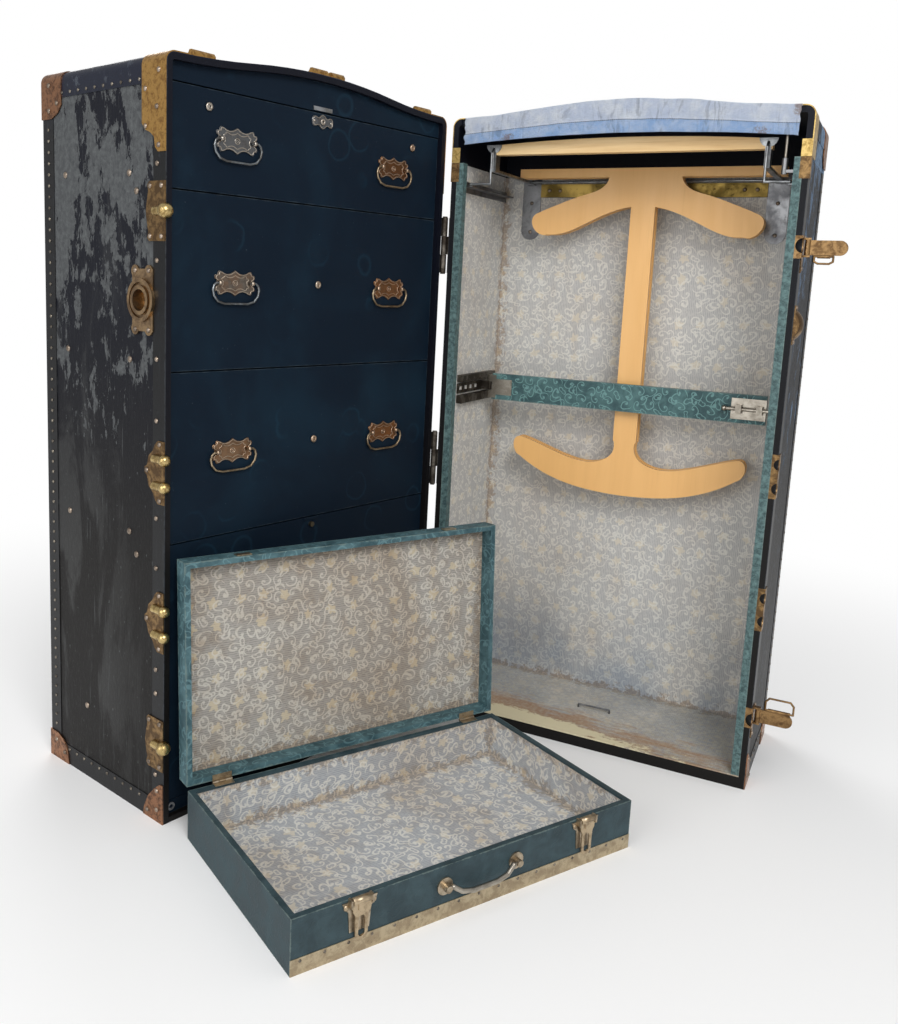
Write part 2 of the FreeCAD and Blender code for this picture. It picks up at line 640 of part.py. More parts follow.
def drawer_fittings(index):
    """Pull plates of a drawer with its lock plate or keyhole stud."""
    y0, y1 = FRONT_RECESS - PLATE, FRONT_RECESS
    pieces = [pull_plate(MIDDLE + side * PULL_SPREAD, PULL_HEIGHTS[index]) for side in (-1, 1)]
    if index < len(PULL_HEIGHTS) - 1:
        pieces.append(disc("xz", MIDDLE, PULL_HEIGHTS[index] + 2, STUD_RADIUS + 1, y0, y1))
        return pieces
    z = DRAWER_LINES[-1] - LOCK_RISE
    lobes = [disc("xz", MIDDLE + dx, z, radius, y0, y1) for dx, radius in ((-14, 7), (0, 10.5), (14, 7))]
    pieces.append(fuse(lobes + [disc("xz", MIDDLE, z, 4, y0 - 2, y1)]))
    for x in (70, 472):
        pieces.append(disc("xz", x, DRAWER_LINES[-1] - 23, STUD_RADIUS, y0, y1))
    return pieces


def catch_centre():
    return MIDDLE, DRAWER_LINES[0] - CATCH_DROP - FRONT_GAP


def bottom_front_panel():
    """Drop front of the lowest compartment, on two stub pivots, with its strike strip."""
    side = WALL + FRONT_GAP
    top = DRAWER_LINES[0] - FRONT_GAP
    board = box(side, TRUNK_WIDTH - side, FRONT_RECESS, FRONT_BACK, FOOT_RAIL_TOP + FRONT_GAP, top)
    catch_x, catch_z = catch_centre()
    hole = disc("xz", catch_x, catch_z, CATCH_RADIUS + RUN_GAP, 0, FRONT_BACK + 1)
    strip = box(catch_x - 15, catch_x + 15, FRONT_RECESS - PLATE, FRONT_RECESS, top - 4, top)
    return [fuse([board] + panel_pivots()).cut(hole), strip]


def bottom_catch():
    """Press catch: a button through the drop front with a flange behind it."""
    x, z = catch_centre()
    button = disc("xz", x, z, CATCH_RADIUS, FRONT_RECESS - 4, FRONT_BACK + 1)
    flange = box(x - 8, x + 8, FRONT_BACK + RUN_GAP, FRONT_BACK + 2.5, z - 7, z + 5)
    return button.fuse(flange)


# ------------------------------------------------------------------ wardrobe half
def rim_inlay(low, high, width):
    """Strip let into the right rim and turned over onto the outer wall."""
    right = TRUNK_WIDTH
    face = box(right - width, right + BINDING + BRASS, RIM_SETBACK, RIM_SETBACK + INLAY, low, high)
    return face


def rim_inlay_spans():
    spans = [(z - 33, z + 33, WALL) for z in DOUBLE_KNOBS]
    spans += [(z - 16, z + 16, WALL) for z in BOLT_HEIGHTS]
    return spans


def end_strips(low, high):
    """Brass strips at both ends of the rim, each turned over onto the side wall."""
    face = rim_inlay(low, high, RIM_FRAME_WIDTH)
    wrap = box(TRUNK_WIDTH + BINDING, TRUNK_WIDTH + BINDING + BRASS, RIM_SETBACK, END_STRIP_WRAP, low, high)
    return across(face.fuse(wrap))


def inlay_cuts():
    cuts = [rim_inlay(low, high, width) for low, high, width in rim_inlay_spans()]
    for piece in across(rim_inlay(END_STRIP_LOW, END_STRIP_HIGH, RIM_FRAME_WIDTH)):
        cuts.append(piece)
    return cuts


def below_lift_line():
    return box(-REACH, REACH, -REACH, REACH, LIFT_LINE, REACH)


def above_lift_line():
    return box(-REACH, REACH, -REACH, REACH, -REACH, LIFT_LINE + LIFT_GAP)


def hanger_half_shell():
    body = half_shell(HANGER_HALF_DEPTH, HANGER_FLOOR)
    return body.cut([below_lift_line()] + far_knob_pockets() + inlay_cuts())


def hanger_half_binding():
    return binding(HANGER_HALF_DEPTH).cut([below_lift_line()] + far_knob_pockets() + inlay_cuts())


def hanger_half_corners():
    """Caps at the foot; those at the top belong to the lift top."""
    low = [cap for cap in corner_caps(HANGER_HALF_DEPTH) if cap.BoundBox.ZMax < SIDE_HEIGHT / 2]
    return [cap.cut(far_knob_pockets()) for cap in low]


def hanger_half_lining():
    y0, y1 = RIM_FRAME_DEPTH, HANGER_HALF_DEPTH - WALL
    floor = HANGER_FLOOR
    outer = box(WALL, TRUNK_WIDTH - WALL, RIM_SETBACK, y1, floor, LIFT_LINE)
    inner = box(INNER_SIDE, TRUNK_WIDTH - INNER_SIDE, RIM_SETBACK - 1, INNER_BACK, floor + LINING, REACH)
    sides_forward = box(-REACH, REACH, -REACH, y0, floor + LINING, REACH)
    return outer.cut([inner, sides_forward])


def rim_frame():
    """Cloth-covered strips just inside the rim."""
    strip = box(WALL, WALL + RIM_FRAME_WIDTH, RIM_SETBACK, RIM_FRAME_DEPTH, HANGER_FLOOR + LINING, LIFT_LINE)
    return [piece.cut(inlay_cuts()) for piece in across(strip)]


def notch_plates():
    """Notched plates that take the double knobs, the lock dome and the lower end strips."""
    wall_face = TRUNK_WIDTH + BINDING
    plates = []
    for middle in DOUBLE_KNOBS:
        face = rim_inlay(middle - 33, middle + 33, WALL)
        wrap = box(wall_face, wall_face + BRASS, RIM_SETBACK, 19, middle - 33, middle + 33)
        plates.append(face.fuse(wrap).cut(far_knob_pockets()))
    middle_y = LOCK_DOME_RADIUS / 2 + 4
    plate = box(wall_face, wall_face + BRASS, 2, middle_y + 14, LOCK_HEIGHT - 28, LOCK_HEIGHT + 28)
    dome = Part.makeSphere(LOCK_DOME_RADIUS, Vec(wall_face - 13, middle_y, LOCK_HEIGHT))
    dome = dome.common(box(wall_face, REACH, 2, REACH, 0, REACH))
    plates.append(plate.fuse(dome))
    return plates + end_strips(END_STRIP_LOW, LIFT_LINE)


def bolt_pivot():
    return TRUNK_WIDTH + BOLT_PIVOT_OUT, BOLT_PIVOT_BACK


def draw_bolt_bases():
    """Notched bracket, two lugs and the fixed pin of each draw bolt."""
    wall_face = TRUNK_WIDTH + BINDING
    x, y = bolt_pivot()
    half = BOLT_LEVER_HEIGHT / 2
    pieces = []
    for middle in BOLT_HEIGHTS:
        face = rim_inlay(middle - 16, middle + 16, WALL)
        tail = [(RIM_SETBACK, middle + 16), (25, middle + 16), (30, middle + 10), (30, middle - 10),
                (25, middle - 16), (22, middle - 34), (12, middle - 36), (10, middle - 18), (RIM_SETBACK, middle - 16)]
        plate = prism("yz", tail, wall_face, wall_face + BRASS)
        lugs = []
        for side in (-1, 1):
            z0, z1 = sorted((middle + side * (half + RUN_GAP), middle + side * (half + 3)))
            lugs.append(box(wall_face, x + BOLT_KNUCKLE, y - BOLT_KNUCKLE, y + BOLT_KNUCKLE, z0, z1))
        pin = rod((x, y, middle - half - 3), (x, y, middle + half + 3), BOLT_PIN)
        pieces.append(fuse([face, plate, pin] + lugs).cut(far_knob_pockets()))
    return pieces


def draw_lever(index):
    """Lever on the vertical pin, with a barrel along one edge for the ring."""
    x, y = bolt_pivot()
    middle = BOLT_HEIGHTS[index]
    half = BOLT_LEVER_HEIGHT / 2
    thin = BOLT_LEVER_THICKNESS / 2
    tip = x + BOLT_LEVERS[index] - half
    blade = box(x, tip, y - thin, y + thin, middle - half, middle + half)
    end = disc("xz", tip, middle, half, y - thin, y + thin)
    knuckle = rod((x, y, middle - half), (x, y, middle + half), BOLT_KNUCKLE)
    start, finish, barrel_z = ring_span(index)
    barrel = rod((start + 4, y, barrel_z), (finish - 4, y, barrel_z), BOLT_RING_WIRE + 1.2)
    lever = fuse([blade, end, knuckle, barrel])
    pin_hole = rod((x, y, middle - half - 1), (x, y, middle + half + 1), BOLT_PIN + PIN_GAP)
    ring_hole = rod((start, y, barrel_z), (finish, y, barrel_z), BOLT_RING_WIRE + PIN_GAP)
    return lever.cut([pin_hole, ring_hole])


def ring_span(index):
    """Start, end and height of the ring's pivot run."""
    x, _ = bolt_pivot()
    side = 1 if BOLT_RINGS[index] > 0 else -1
    start = x + BOLT_RING_START
    barrel_z = BOLT_HEIGHTS[index] + side * (BOLT_LEVER_HEIGHT / 2 + 1.5)
    return start, start + BOLT_RING_LENGTHS[index] - 2 * BOLT_RING_WIRE, barrel_z


def draw_ring(index):
    start, finish, z = ring_span(index)
    _, y = bolt_pivot()
    far = z + BOLT_RINGS[index]
    lean = 0.7 * BOLT_RINGS[index]
    loop = [(start + 6, y, z), (finish, y, z), (finish, y, z + lean), (finish - 5, y, far), (start + 5, y, far),
            (start, y, z + lean), (start, y, z), (start + 7, y, z)]
    return wire(loop, BOLT_RING_WIRE)


def trolley_tracks():
    """Side ledges, back brackets and the floor staple."""
    x0 = INNER_SIDE
    web = box(x0, x0 + 1.5, TRACK_START, INNER_BACK, TRACK_TOP - 10, TRACK_TOP + 8)
    ledge = box(x0, x0 + TRACK_REACH, TRACK_START, INNER_BACK - 4, TRACK_TOP - 2, TRACK_TOP)
    pieces = across(web.fuse(ledge))
    outline_low = BACK_BRACKET_LOW + BACK_BRACKET_WIDTH / 2
    middle = BACK_RAIL_INSET - BACK_BRACKET_WIDTH / 2
    left, right = middle - BACK_BRACKET_WIDTH / 2, middle + BACK_BRACKET_WIDTH / 2
    bracket = box(left, right, INNER_BACK - 2, INNER_BACK, outline_low, BACK_BRACKET_HIGH)
    foot = disc("xz", middle, outline_low, BACK_BRACKET_WIDTH / 2, INNER_BACK - 2, INNER_BACK)
    shelf = box(RAIL_INSET - 8, RAIL_INSET + 8, INNER_BACK - 12, INNER_BACK, RAIL_LOW - RUN_GAP - 2, RAIL_LOW - RUN_GAP)
    pieces += across(fuse([bracket, foot, shelf]))
    floor = HANGER_FLOOR + LINING
    staple = [(MIDDLE - 25, 110, floor), (MIDDLE - 25, 110, floor + 6), (MIDDLE + 30, 112, floor + 6),
              (MIDDLE + 30, 112, floor)]
    pieces.append(wire(staple, 1.5))
    return pieces


def back_rail():
    """Brass rail on the back wall, between the two brackets."""
    left, right = BACK_RAIL_INSET, TRUNK_WIDTH - BACK_RAIL_INSET
    return box(left, right, INNER_BACK - 4, INNER_BACK, BACK_RAIL_LOW, BACK_RAIL_HIGH)


def keep_middle_y():
    return KEEP_Y + KEEP_THICKNESS / 2


def bar_brackets():
    """Perforated wall plate, two cleats and the hinge lug of the retaining bar."""
    x0 = INNER_SIDE
    plate_low, plate_high = KEEP_LOW + KEEP_PLATE_LOW, KEEP_LOW + KEEP_PLATE_HIGH
    slot_low, slot_high = plate_low + KEEP_SLOT_MARGIN, plate_high - KEEP_SLOT_MARGIN
    plate = box(x0, x0 + LEAF, CLEAT_START, CLEAT_END, plate_low, plate_high)
    through = (x0 - 1, x0 + LEAF + 1)
    plate = plate.cut([box(*through, y, y + KEEP_SLOT_LENGTH, slot_low, slot_high) for y in KEEP_SLOTS])
    y, pivot = keep_middle_y(), KEEP_PIVOT_X
    lug_low, lug_high = KEEP_LOW + KEEP_LUG_LOW, KEEP_LOW + KEEP_LUG_HIGH
    knuckle = rod((pivot, y, lug_low), (pivot, y, lug_high), KEEP_KNUCKLE - 1)
    lug = box(x0 + LEAF, pivot, y - 3, y + 3, lug_low, lug_high).fuse(knuckle)
    pin = rod((pivot, y, KEEP_LOW + 2), (pivot, y, KEEP_HIGH - 2), KEEP_PIN)
    cleats = [box(x0, x0 + CLEAT_DEPTH, CLEAT_START, CLEAT_END, KEEP_LOW + a, KEEP_LOW + b) for a, b in CLEATS]
    return [fuse([plate, lug, pin])] + cleats


def retaining_bar():
    return box(KEEP_START, KEEP_END, KEEP_Y, KEEP_Y + KEEP_THICKNESS, KEEP_LOW, KEEP_HIGH)


def slide_bolt_axis():
    return KEEP_Y - 7.0, (KEEP_LOW + KEEP_HIGH) / 2


def bar_fittings():
    """Hinge strap at one end of the bar, guides of the slide bolt at the other."""
    y, pivot = keep_middle_y(), KEEP_PIVOT_X
    front = KEEP_Y - PLATE
    strap = box(KEEP_START, KEEP_START + KEEP_STRAP, front, KEEP_Y, KEEP_LOW + 9, KEEP_HIGH - 10)
    pieces = [strap]
    below = (KEEP_LOW + KEEP_MARGIN, KEEP_LOW + KEEP_LUG_LOW - KEEP_RUN)
    above = (KEEP_LOW + KEEP_LUG_HIGH + KEEP_RUN, KEEP_HIGH - KEEP_MARGIN)
    for z0, z1 in (below, above):
        pieces.append(rod((pivot, y, z0), (pivot, y, z1), KEEP_KNUCKLE))
        pieces.append(box(pivot, KEEP_START, front, KEEP_Y + 1, z0, z1))
        pieces.append(box(KEEP_START - 1, KEEP_START + 8, front, KEEP_Y, z0, z1))
    pin_hole = rod((pivot, y, KEEP_LOW), (pivot, y, KEEP_HIGH), KEEP_PIN + PIN_GAP)
    hinge_part = fuse(pieces).cut(pin_hole)
    bolt_y, bolt_z = slide_bolt_axis()
    plate_start = KEEP_END - BOLT_PLATE_LENGTH
    plate = box(plate_start, KEEP_END, front, KEEP_Y, bolt_z - 17, bolt_z + 17)
    guides = [box(x, x + 9, bolt_y - 5, front, bolt_z - 7, bolt_z + 7) for x in (plate_start + 8, KEEP_END - 14)]
    bore = rod((plate_start, bolt_y, bolt_z), (KEEP_END, bolt_y, bolt_z), SLIDE_BOLT_RADIUS + PIN_GAP)
    return [hinge_part, fuse([plate] + guides).cut(bore)]


def bar_bolt():
    y, z = slide_bolt_axis()
    start = KEEP_END - BOLT_PLATE_LENGTH - 10
    shaft = rod((start, y, z), (SLIDE_BOLT_TIP, y, z), SLIDE_BOLT_RADIUS)
    return shaft.fuse(Part.makeSphere(SLIDE_BOLT_RADIUS * 1.5, Vec(start, y, z)))


def trolley_bar():
    left, right = BAR_INSET, TRUNK_WIDTH - BAR_INSET
    return under_arc(left, right, BAR_HIGH, BAR_RISE, BAR_LOW, BAR_FRONT, BAR_FRONT + BAR_DEPTH)


def trolley_carriage():
    """Two flat rails under the front bar, their half-round plates, pull wires and rear tie."""
    half = RAIL_WIDTH / 2
    front = BAR_FRONT - PLATE
    top = BAR_HIGH + 1
    rail = box(RAIL_INSET - half, RAIL_INSET + half, BAR_FRONT, RAIL_END, RAIL_LOW, RAIL_LOW + RAIL_THICKNESS)
    post = box(RAIL_INSET - half, RAIL_INSET + half, BAR_FRONT, BAR_FRONT + BAR_DEPTH, RAIL_LOW, BAR_LOW)
    plate = disc("xz", RAIL_INSET, top, HALF_ROUND, front, BAR_FRONT)
    plate = plate.cut(box(-REACH, REACH, -REACH, REACH, top, REACH))
    wire_z = TRACK_TOP + RUN_GAP + PULL_WIRE
    points = [(RAIL_INSET, front, top - 6), (RAIL_INSET, PULL_WIRE_Y, top - 14), (RAIL_INSET, PULL_WIRE_Y, wire_z),
              (PULL_WIRE_OUT, PULL_WIRE_Y, wire_z), (PULL_WIRE_OUT, PULL_WIRE_Y + 8, wire_z)]
    link = wire(points, PULL_WIRE)
    drop = box(RAIL_INSET - half, RAIL_INSET + half, front, BAR_FRONT, RAIL_LOW, top - 8)
    sides = across(fuse([rail, post, plate, link, drop]))
    tie = rod((RAIL_INSET, RAIL_END - 8, RAIL_LOW + 2), (TRUNK_WIDTH - RAIL_INSET, RAIL_END - 8, RAIL_LOW + 2), 1.8)
    return fuse(sides + [tie])


def smooth_edge(points, y):
    curve = Part.BSplineCurve()
    curve.interpolate([Vec(a, y, b) for a, b in points])
    return curve.toShape()


def half_board(curves, y, under_bar):
    """Board between the middle line and a chain of curves from its top round to its lowest point."""
    edges = [smooth_edge([(x, under_bar - drop) for x, drop in curve], y) for curve in curves]
    start_x, start_drop = curves[0][0]
    start = Vec(start_x, y, under_bar - start_drop)
    top = Vec(0, y, start.z)
    low = Vec(0, y, under_bar - curves[-1][-1][1])
    return closed_form(edges + [Part.makeLine(low, top), Part.makeLine(top, start)], HANGER_PLY)


def suit_hanger(index):
    """Plywood hanger: top bar, curved arms, long stem and crescent for trousers, cut from one board."""
    y = HANGER_PLANES[index]
    under_bar = RAIL_LOW + RAIL_THICKNESS + RUN_GAP
    bar = box(-HANGER_BAR_HALF, HANGER_BAR_HALF, y, y + HANGER_PLY, under_bar, under_bar + HANGER_BAR_HEIGHT)
    stem = box(-STEM_HALF, STEM_HALF, y, y + HANGER_PLY, under_bar - STEM_FOOT, under_bar - STEM_HEAD)
    arm = half_board((ARM_TOP, ARM_TIP, ARM_UNDER), y, under_bar)
    crescent = half_board((CRESCENT_TOP, CRESCENT_TIP, CRESCENT_UNDER), y, under_bar)
    hanger = fuse([bar, stem] + across(arm, 0) + across(crescent, 0))
    hanger.translate(Vec(MIDDLE + HANGER_SHIFT, 0, 0))
    return hanger


# ------------------------------------------------------------------ lift top
def lift_top_shell():
    front_room = box(RIM_FRAME_WIDTH, TRUNK_WIDTH - RIM_FRAME_WIDTH, -REACH, LIFT_SETBACK, 0, REACH)
    cuts = [above_lift_line(), front_room] + inlay_cuts()
    shell = half_shell(HANGER_HALF_DEPTH, HANGER_FLOOR).cut(cuts)
    edging = binding(HANGER_HALF_DEPTH).cut(cuts)
    return [shell] + edging.Solids


def lift_hinges(fixed):
    """Leaf and knuckles of the two back hinges that belong to the body or to the lift top."""
    y, z = LIFT_AXIS_Y, LIFT_AXIS_Z
    face = HANGER_HALF_DEPTH + BINDING
    third = LIFT_HINGE_LENGTH / 3
    leaves = []
    for middle in LIFT_HINGES:
        x0, x1 = middle - LIFT_HINGE_LENGTH / 2, middle + LIFT_HINGE_LENGTH / 2
        spans = ((x0, x0 + third), (x1 - third, x1)) if fixed else ((x0 + third + KNUCKLE_GAP, x1 - third - KNUCKLE_GAP),)
        side = -1 if fixed else 1
        near = z + side * (LIFT_KNUCKLE + 0.4)
        z0, z1 = sorted((near, near + side * LIFT_LEAF_HEIGHT))
        pieces = [box(x0, x1, face, face + BRASS, z0, z1)]
        for a, b in spans:
            t0, t1 = sorted((z, near + side))
            pieces.append(box(a, b, face, face + BRASS, t0, t1))
            pieces.append(rod((a, y, z), (b, y, z), LIFT_KNUCKLE))
        leaf = fuse(pieces)
        if fixed:
            leaves.append(leaf.fuse(rod((x0, y, z), (x1, y, z), LIFT_PIN)))
        else:
            leaves.append(leaf.cut(rod((x0, y, z), (x1, y, z), LIFT_PIN + PIN_GAP)))
    return leaves


def lift_top_fittings():
    """End strips, corner caps, stay rod and hinge leaves that lift with the top."""
    under_curtain = box(CURTAIN_INSET - RUN_GAP, TRUNK_WIDTH - CURTAIN_INSET + RUN_GAP, -REACH,
                        CURTAIN_OVER_TOP + RUN_GAP, 0, REACH)
    end_strip_room = box(-REACH, REACH, -REACH, END_STRIP_WRAP, 0, END_STRIP_HIGH)
    caps = []
    for cap in corner_caps(HANGER_HALF_DEPTH):
        if cap.BoundBox.ZMax > SIDE_HEIGHT / 2:
            caps.append(cap.cut([end_strip_room, under_curtain, above_lift_line()]))
    strips = [strip.cut(above_lift_line()) for strip in end_strips(LIFT_LINE, END_STRIP_HIGH)]
    stay = rod((STAY_X, STAY_Y, LIFT_LINE), (STAY_X, STAY_Y, SIDE_HEIGHT), STAY_RADIUS)
    stay = stay.common(crowned(WALL, 0, HANGER_HALF_DEPTH))
    return caps + strips + [stay] + lift_hinges(False)


def body_top_fittings():
    """Stay socket and the fixed leaves of the lift top's hinges."""
    sleeve = rod((STAY_X, STAY_Y, LIFT_LINE - 23), (STAY_X, STAY_Y, LIFT_LINE - 1), STAY_SLEEVE)
    arm_end = TRUNK_WIDTH - WALL - RIM_FRAME_WIDTH
    arm = box(STAY_X, arm_end, STAY_Y - 3, STAY_Y + 3, LIFT_LINE - 21, LIFT_LINE - 17)
    return [sleeve.fuse(arm)] + lift_hinges(True)


def curtain():
    """Cloth over the front of the lift top, from its top edge down to the hem."""
    high = BINDING + CURTAIN_LIFT + CURTAIN_THICKNESS
    outer = crowned(-high, CURTAIN_FRONT, CURTAIN_OVER_TOP)
    inner = crowned(-BINDING - CURTAIN_LIFT, CURTAIN_FRONT + CURTAIN_THICKNESS, CURTAIN_OVER_TOP + 1)
    ends = [box(-REACH, CURTAIN_INSET, -REACH, REACH, 0, REACH),
            box(TRUNK_WIDTH - CURTAIN_INSET, REACH, -REACH, REACH, 0, REACH)]
    below = under_arc(0, TRUNK_WIDTH, CURTAIN_HEM, CURTAIN_HEM_RISE, 0, -REACH, REACH)
    return outer.cut([inner, below] + ends)


# ------------------------------------------------------------------ fitted case
def case_base_shell():
    outer = box(0, CASE_LENGTH, -CASE_DEPTH, 0, 0, CASE_BASE_HEIGHT)
    inner = box(CASE_WALL, CASE_LENGTH - CASE_WALL, CASE_WALL - CASE_DEPTH, -CASE_WALL, CASE_FLOOR, REACH)
    return outer.cut(inner)


def case_lid_shell():
    outer = box(0, CASE_LENGTH, -CASE_DEPTH, 0, LID_LOW, LID_HIGH)
    inner = box(CASE_WALL, CASE_LENGTH - CASE_WALL, CASE_WALL - CASE_DEPTH, -CASE_WALL, 0, LID_HIGH - CASE_PANEL)
    return outer.cut(inner)


def case_leaves(fixed):
    """Butt hinge leaves on the rims; the base carries the pins."""
    y, z = CASE_AXIS_BACK, CASE_AXIS_Z
    third = CASE_HINGE_LENGTH / 3
    z0, z1 = (CASE_BASE_HEIGHT, CASE_BASE_HEIGHT + CASE_LEAF) if fixed else (LID_LOW - CASE_LEAF, LID_LOW)
    leaves = []
    for middle in CASE_HINGES:
        x0, x1 = middle - CASE_HINGE_LENGTH / 2, middle + CASE_HINGE_LENGTH / 2
        spans = ((x0, x0 + third), (x1 - third, x1)) if fixed else ((x0 + third + KNUCKLE_GAP, x1 - third - KNUCKLE_GAP),)
        pieces = [box(x0, x1, -CASE_WALL, 0, z0, z1)]
        for a, b in spans:
            pieces.append(box(a, b, -1, y, z0, z1))
            pieces.append(rod((a, y, z), (b, y, z), CASE_KNUCKLE))
        leaf = fuse(pieces)
        if fixed:
            leaves.append(leaf.fuse(rod((x0, y, z), (x1, y, z), CASE_PIN)))
        else:
            leaves.append(leaf.cut(rod((x0, y, z), (x1, y, z), CASE_PIN + PIN_GAP)))
    return leaves


def case_base_fittings():
    """Foot strip, latch plates with their pins, handle washers and posts, hinge leaves."""
    face = -CASE_DEPTH
    pieces = [box(0, CASE_LENGTH, face - FOOT_STRIP, face, 0, FOOT_STRIP_HEIGHT)]
    pivot_y = face - LATCH_PIVOT_OUT
    for x in CASE_LATCHES:
        half = LATCH_EAR_WIDTH / 2
        outline = [(x - half, 66), (x - half + 4, 57), (x - 15, 54), (x - 13, 28), (x + 13, 28), (x + 15, 54),
                   (x + half - 4, 57), (x + half, 66)]
        plate = prism("xz", outline, face - PLATE, face)
        lugs = []
        for side in (-1, 1):
            a, b = sorted((x + side * (LATCH_WIDTH / 2 + RUN_GAP), x + side * (LATCH_WIDTH / 2 + 3)))
            lugs.append(box(a, b, pivot_y - 2.5, face, 61, LATCH_PIVOT_RISE + 2.5))
        shaft_half = LATCH_WIDTH / 2 + 3
        pin = rod((x - shaft_half, pivot_y, LATCH_PIVOT_RISE), (x + shaft_half, pivot_y, LATCH_PIVOT_RISE), LATCH_PIN)
        pieces.append(fuse([plate, pin] + lugs))
    handle_y = face - HANDLE_OUT
    for x in HANDLE_POSTS:
        washer = disc("xz", x, HANDLE_RISE, WASHER_RADIUS, face - 2, face)
        post = disc("xz", x, HANDLE_RISE, 4.5, handle_y - 3.5, face)
        bore = rod((x - 6, handle_y, HANDLE_RISE), (x + 6, handle_y, HANDLE_RISE), HANDLE_PIN + PIN_GAP)
        pieces.append(washer.fuse(post).cut(bore))
    return pieces + case_leaves(True)


def case_lid_fittings():
    face = -CASE_DEPTH
    keepers = [box(x - 11, x + 11, face - PLATE, face, LID_LOW + 3, LID_LOW + 14) for x in CASE_LATCHES]
    return keepers + case_leaves(False)


def case_latch(index):
    """Latch lever on its pin, with the short claw above the pin."""
    x = CASE_LATCHES[index]
    face = -CASE_DEPTH
    y = face - LATCH_PIVOT_OUT
    half = LATCH_WIDTH / 2
    claw = LATCH_HIGH - LATCH_PIVOT_RISE
    barrel = rod((x - half, y, LATCH_PIVOT_RISE), (x + half, y, LATCH_PIVOT_RISE), claw)
    outline = [(x - half, LATCH_PIVOT_RISE), (x - half, 44), (x - 9, 40), (x - 9, 26), (x - 4, LATCH_LOW),
               (x + 4, LATCH_LOW), (x + 9, 26), (x + 9, 40), (x + half, 44), (x + half, LATCH_PIVOT_RISE)]
    blade = prism("xz", outline, y - 1, y + 1)
    rib = prism("xz", [(x - 5, 60), (x - 5, 32), (x + 5, 32), (x + 5, 60)], y - 3.5, y)
    hole = rod((x - half - 1, y, LATCH_PIVOT_RISE), (x + half + 1, y, LATCH_PIVOT_RISE), LATCH_PIN + PIN_GAP)
    return fuse([barrel, blade, rib]).cut(hole)


def case_handle():
    """Loop handle whose pins turn in the two posts."""
    x0, x1 = HANDLE_POSTS
    y, z = -CASE_DEPTH - HANDLE_OUT, HANDLE_RISE
    grip = [(x0 + 8, y, z), (x0 + 20, y - 3, z - 0.7 * HANDLE_DROP), (x0 + 36, y - 4, z - HANDLE_DROP),
            (x1 - 36, y - 4, z - HANDLE_DROP), (x1 - 20, y - 3, z - 0.7 * HANDLE_DROP), (x1 - 8, y, z)]
    pins = [rod((x0 - 5, y, z), (x0 + 8, y, z), HANDLE_PIN), rod((x1 - 8, y, z), (x1 + 5, y, z), HANDLE_PIN)]
    knuckles = [Part.makeSphere(HANDLE_WIRE, Vec(x, y, z)) for x in (x0 + 8.5, x1 - 8.5)]
    return fuse([wire(grip, HANDLE_WIRE)] + pins + knuckles)


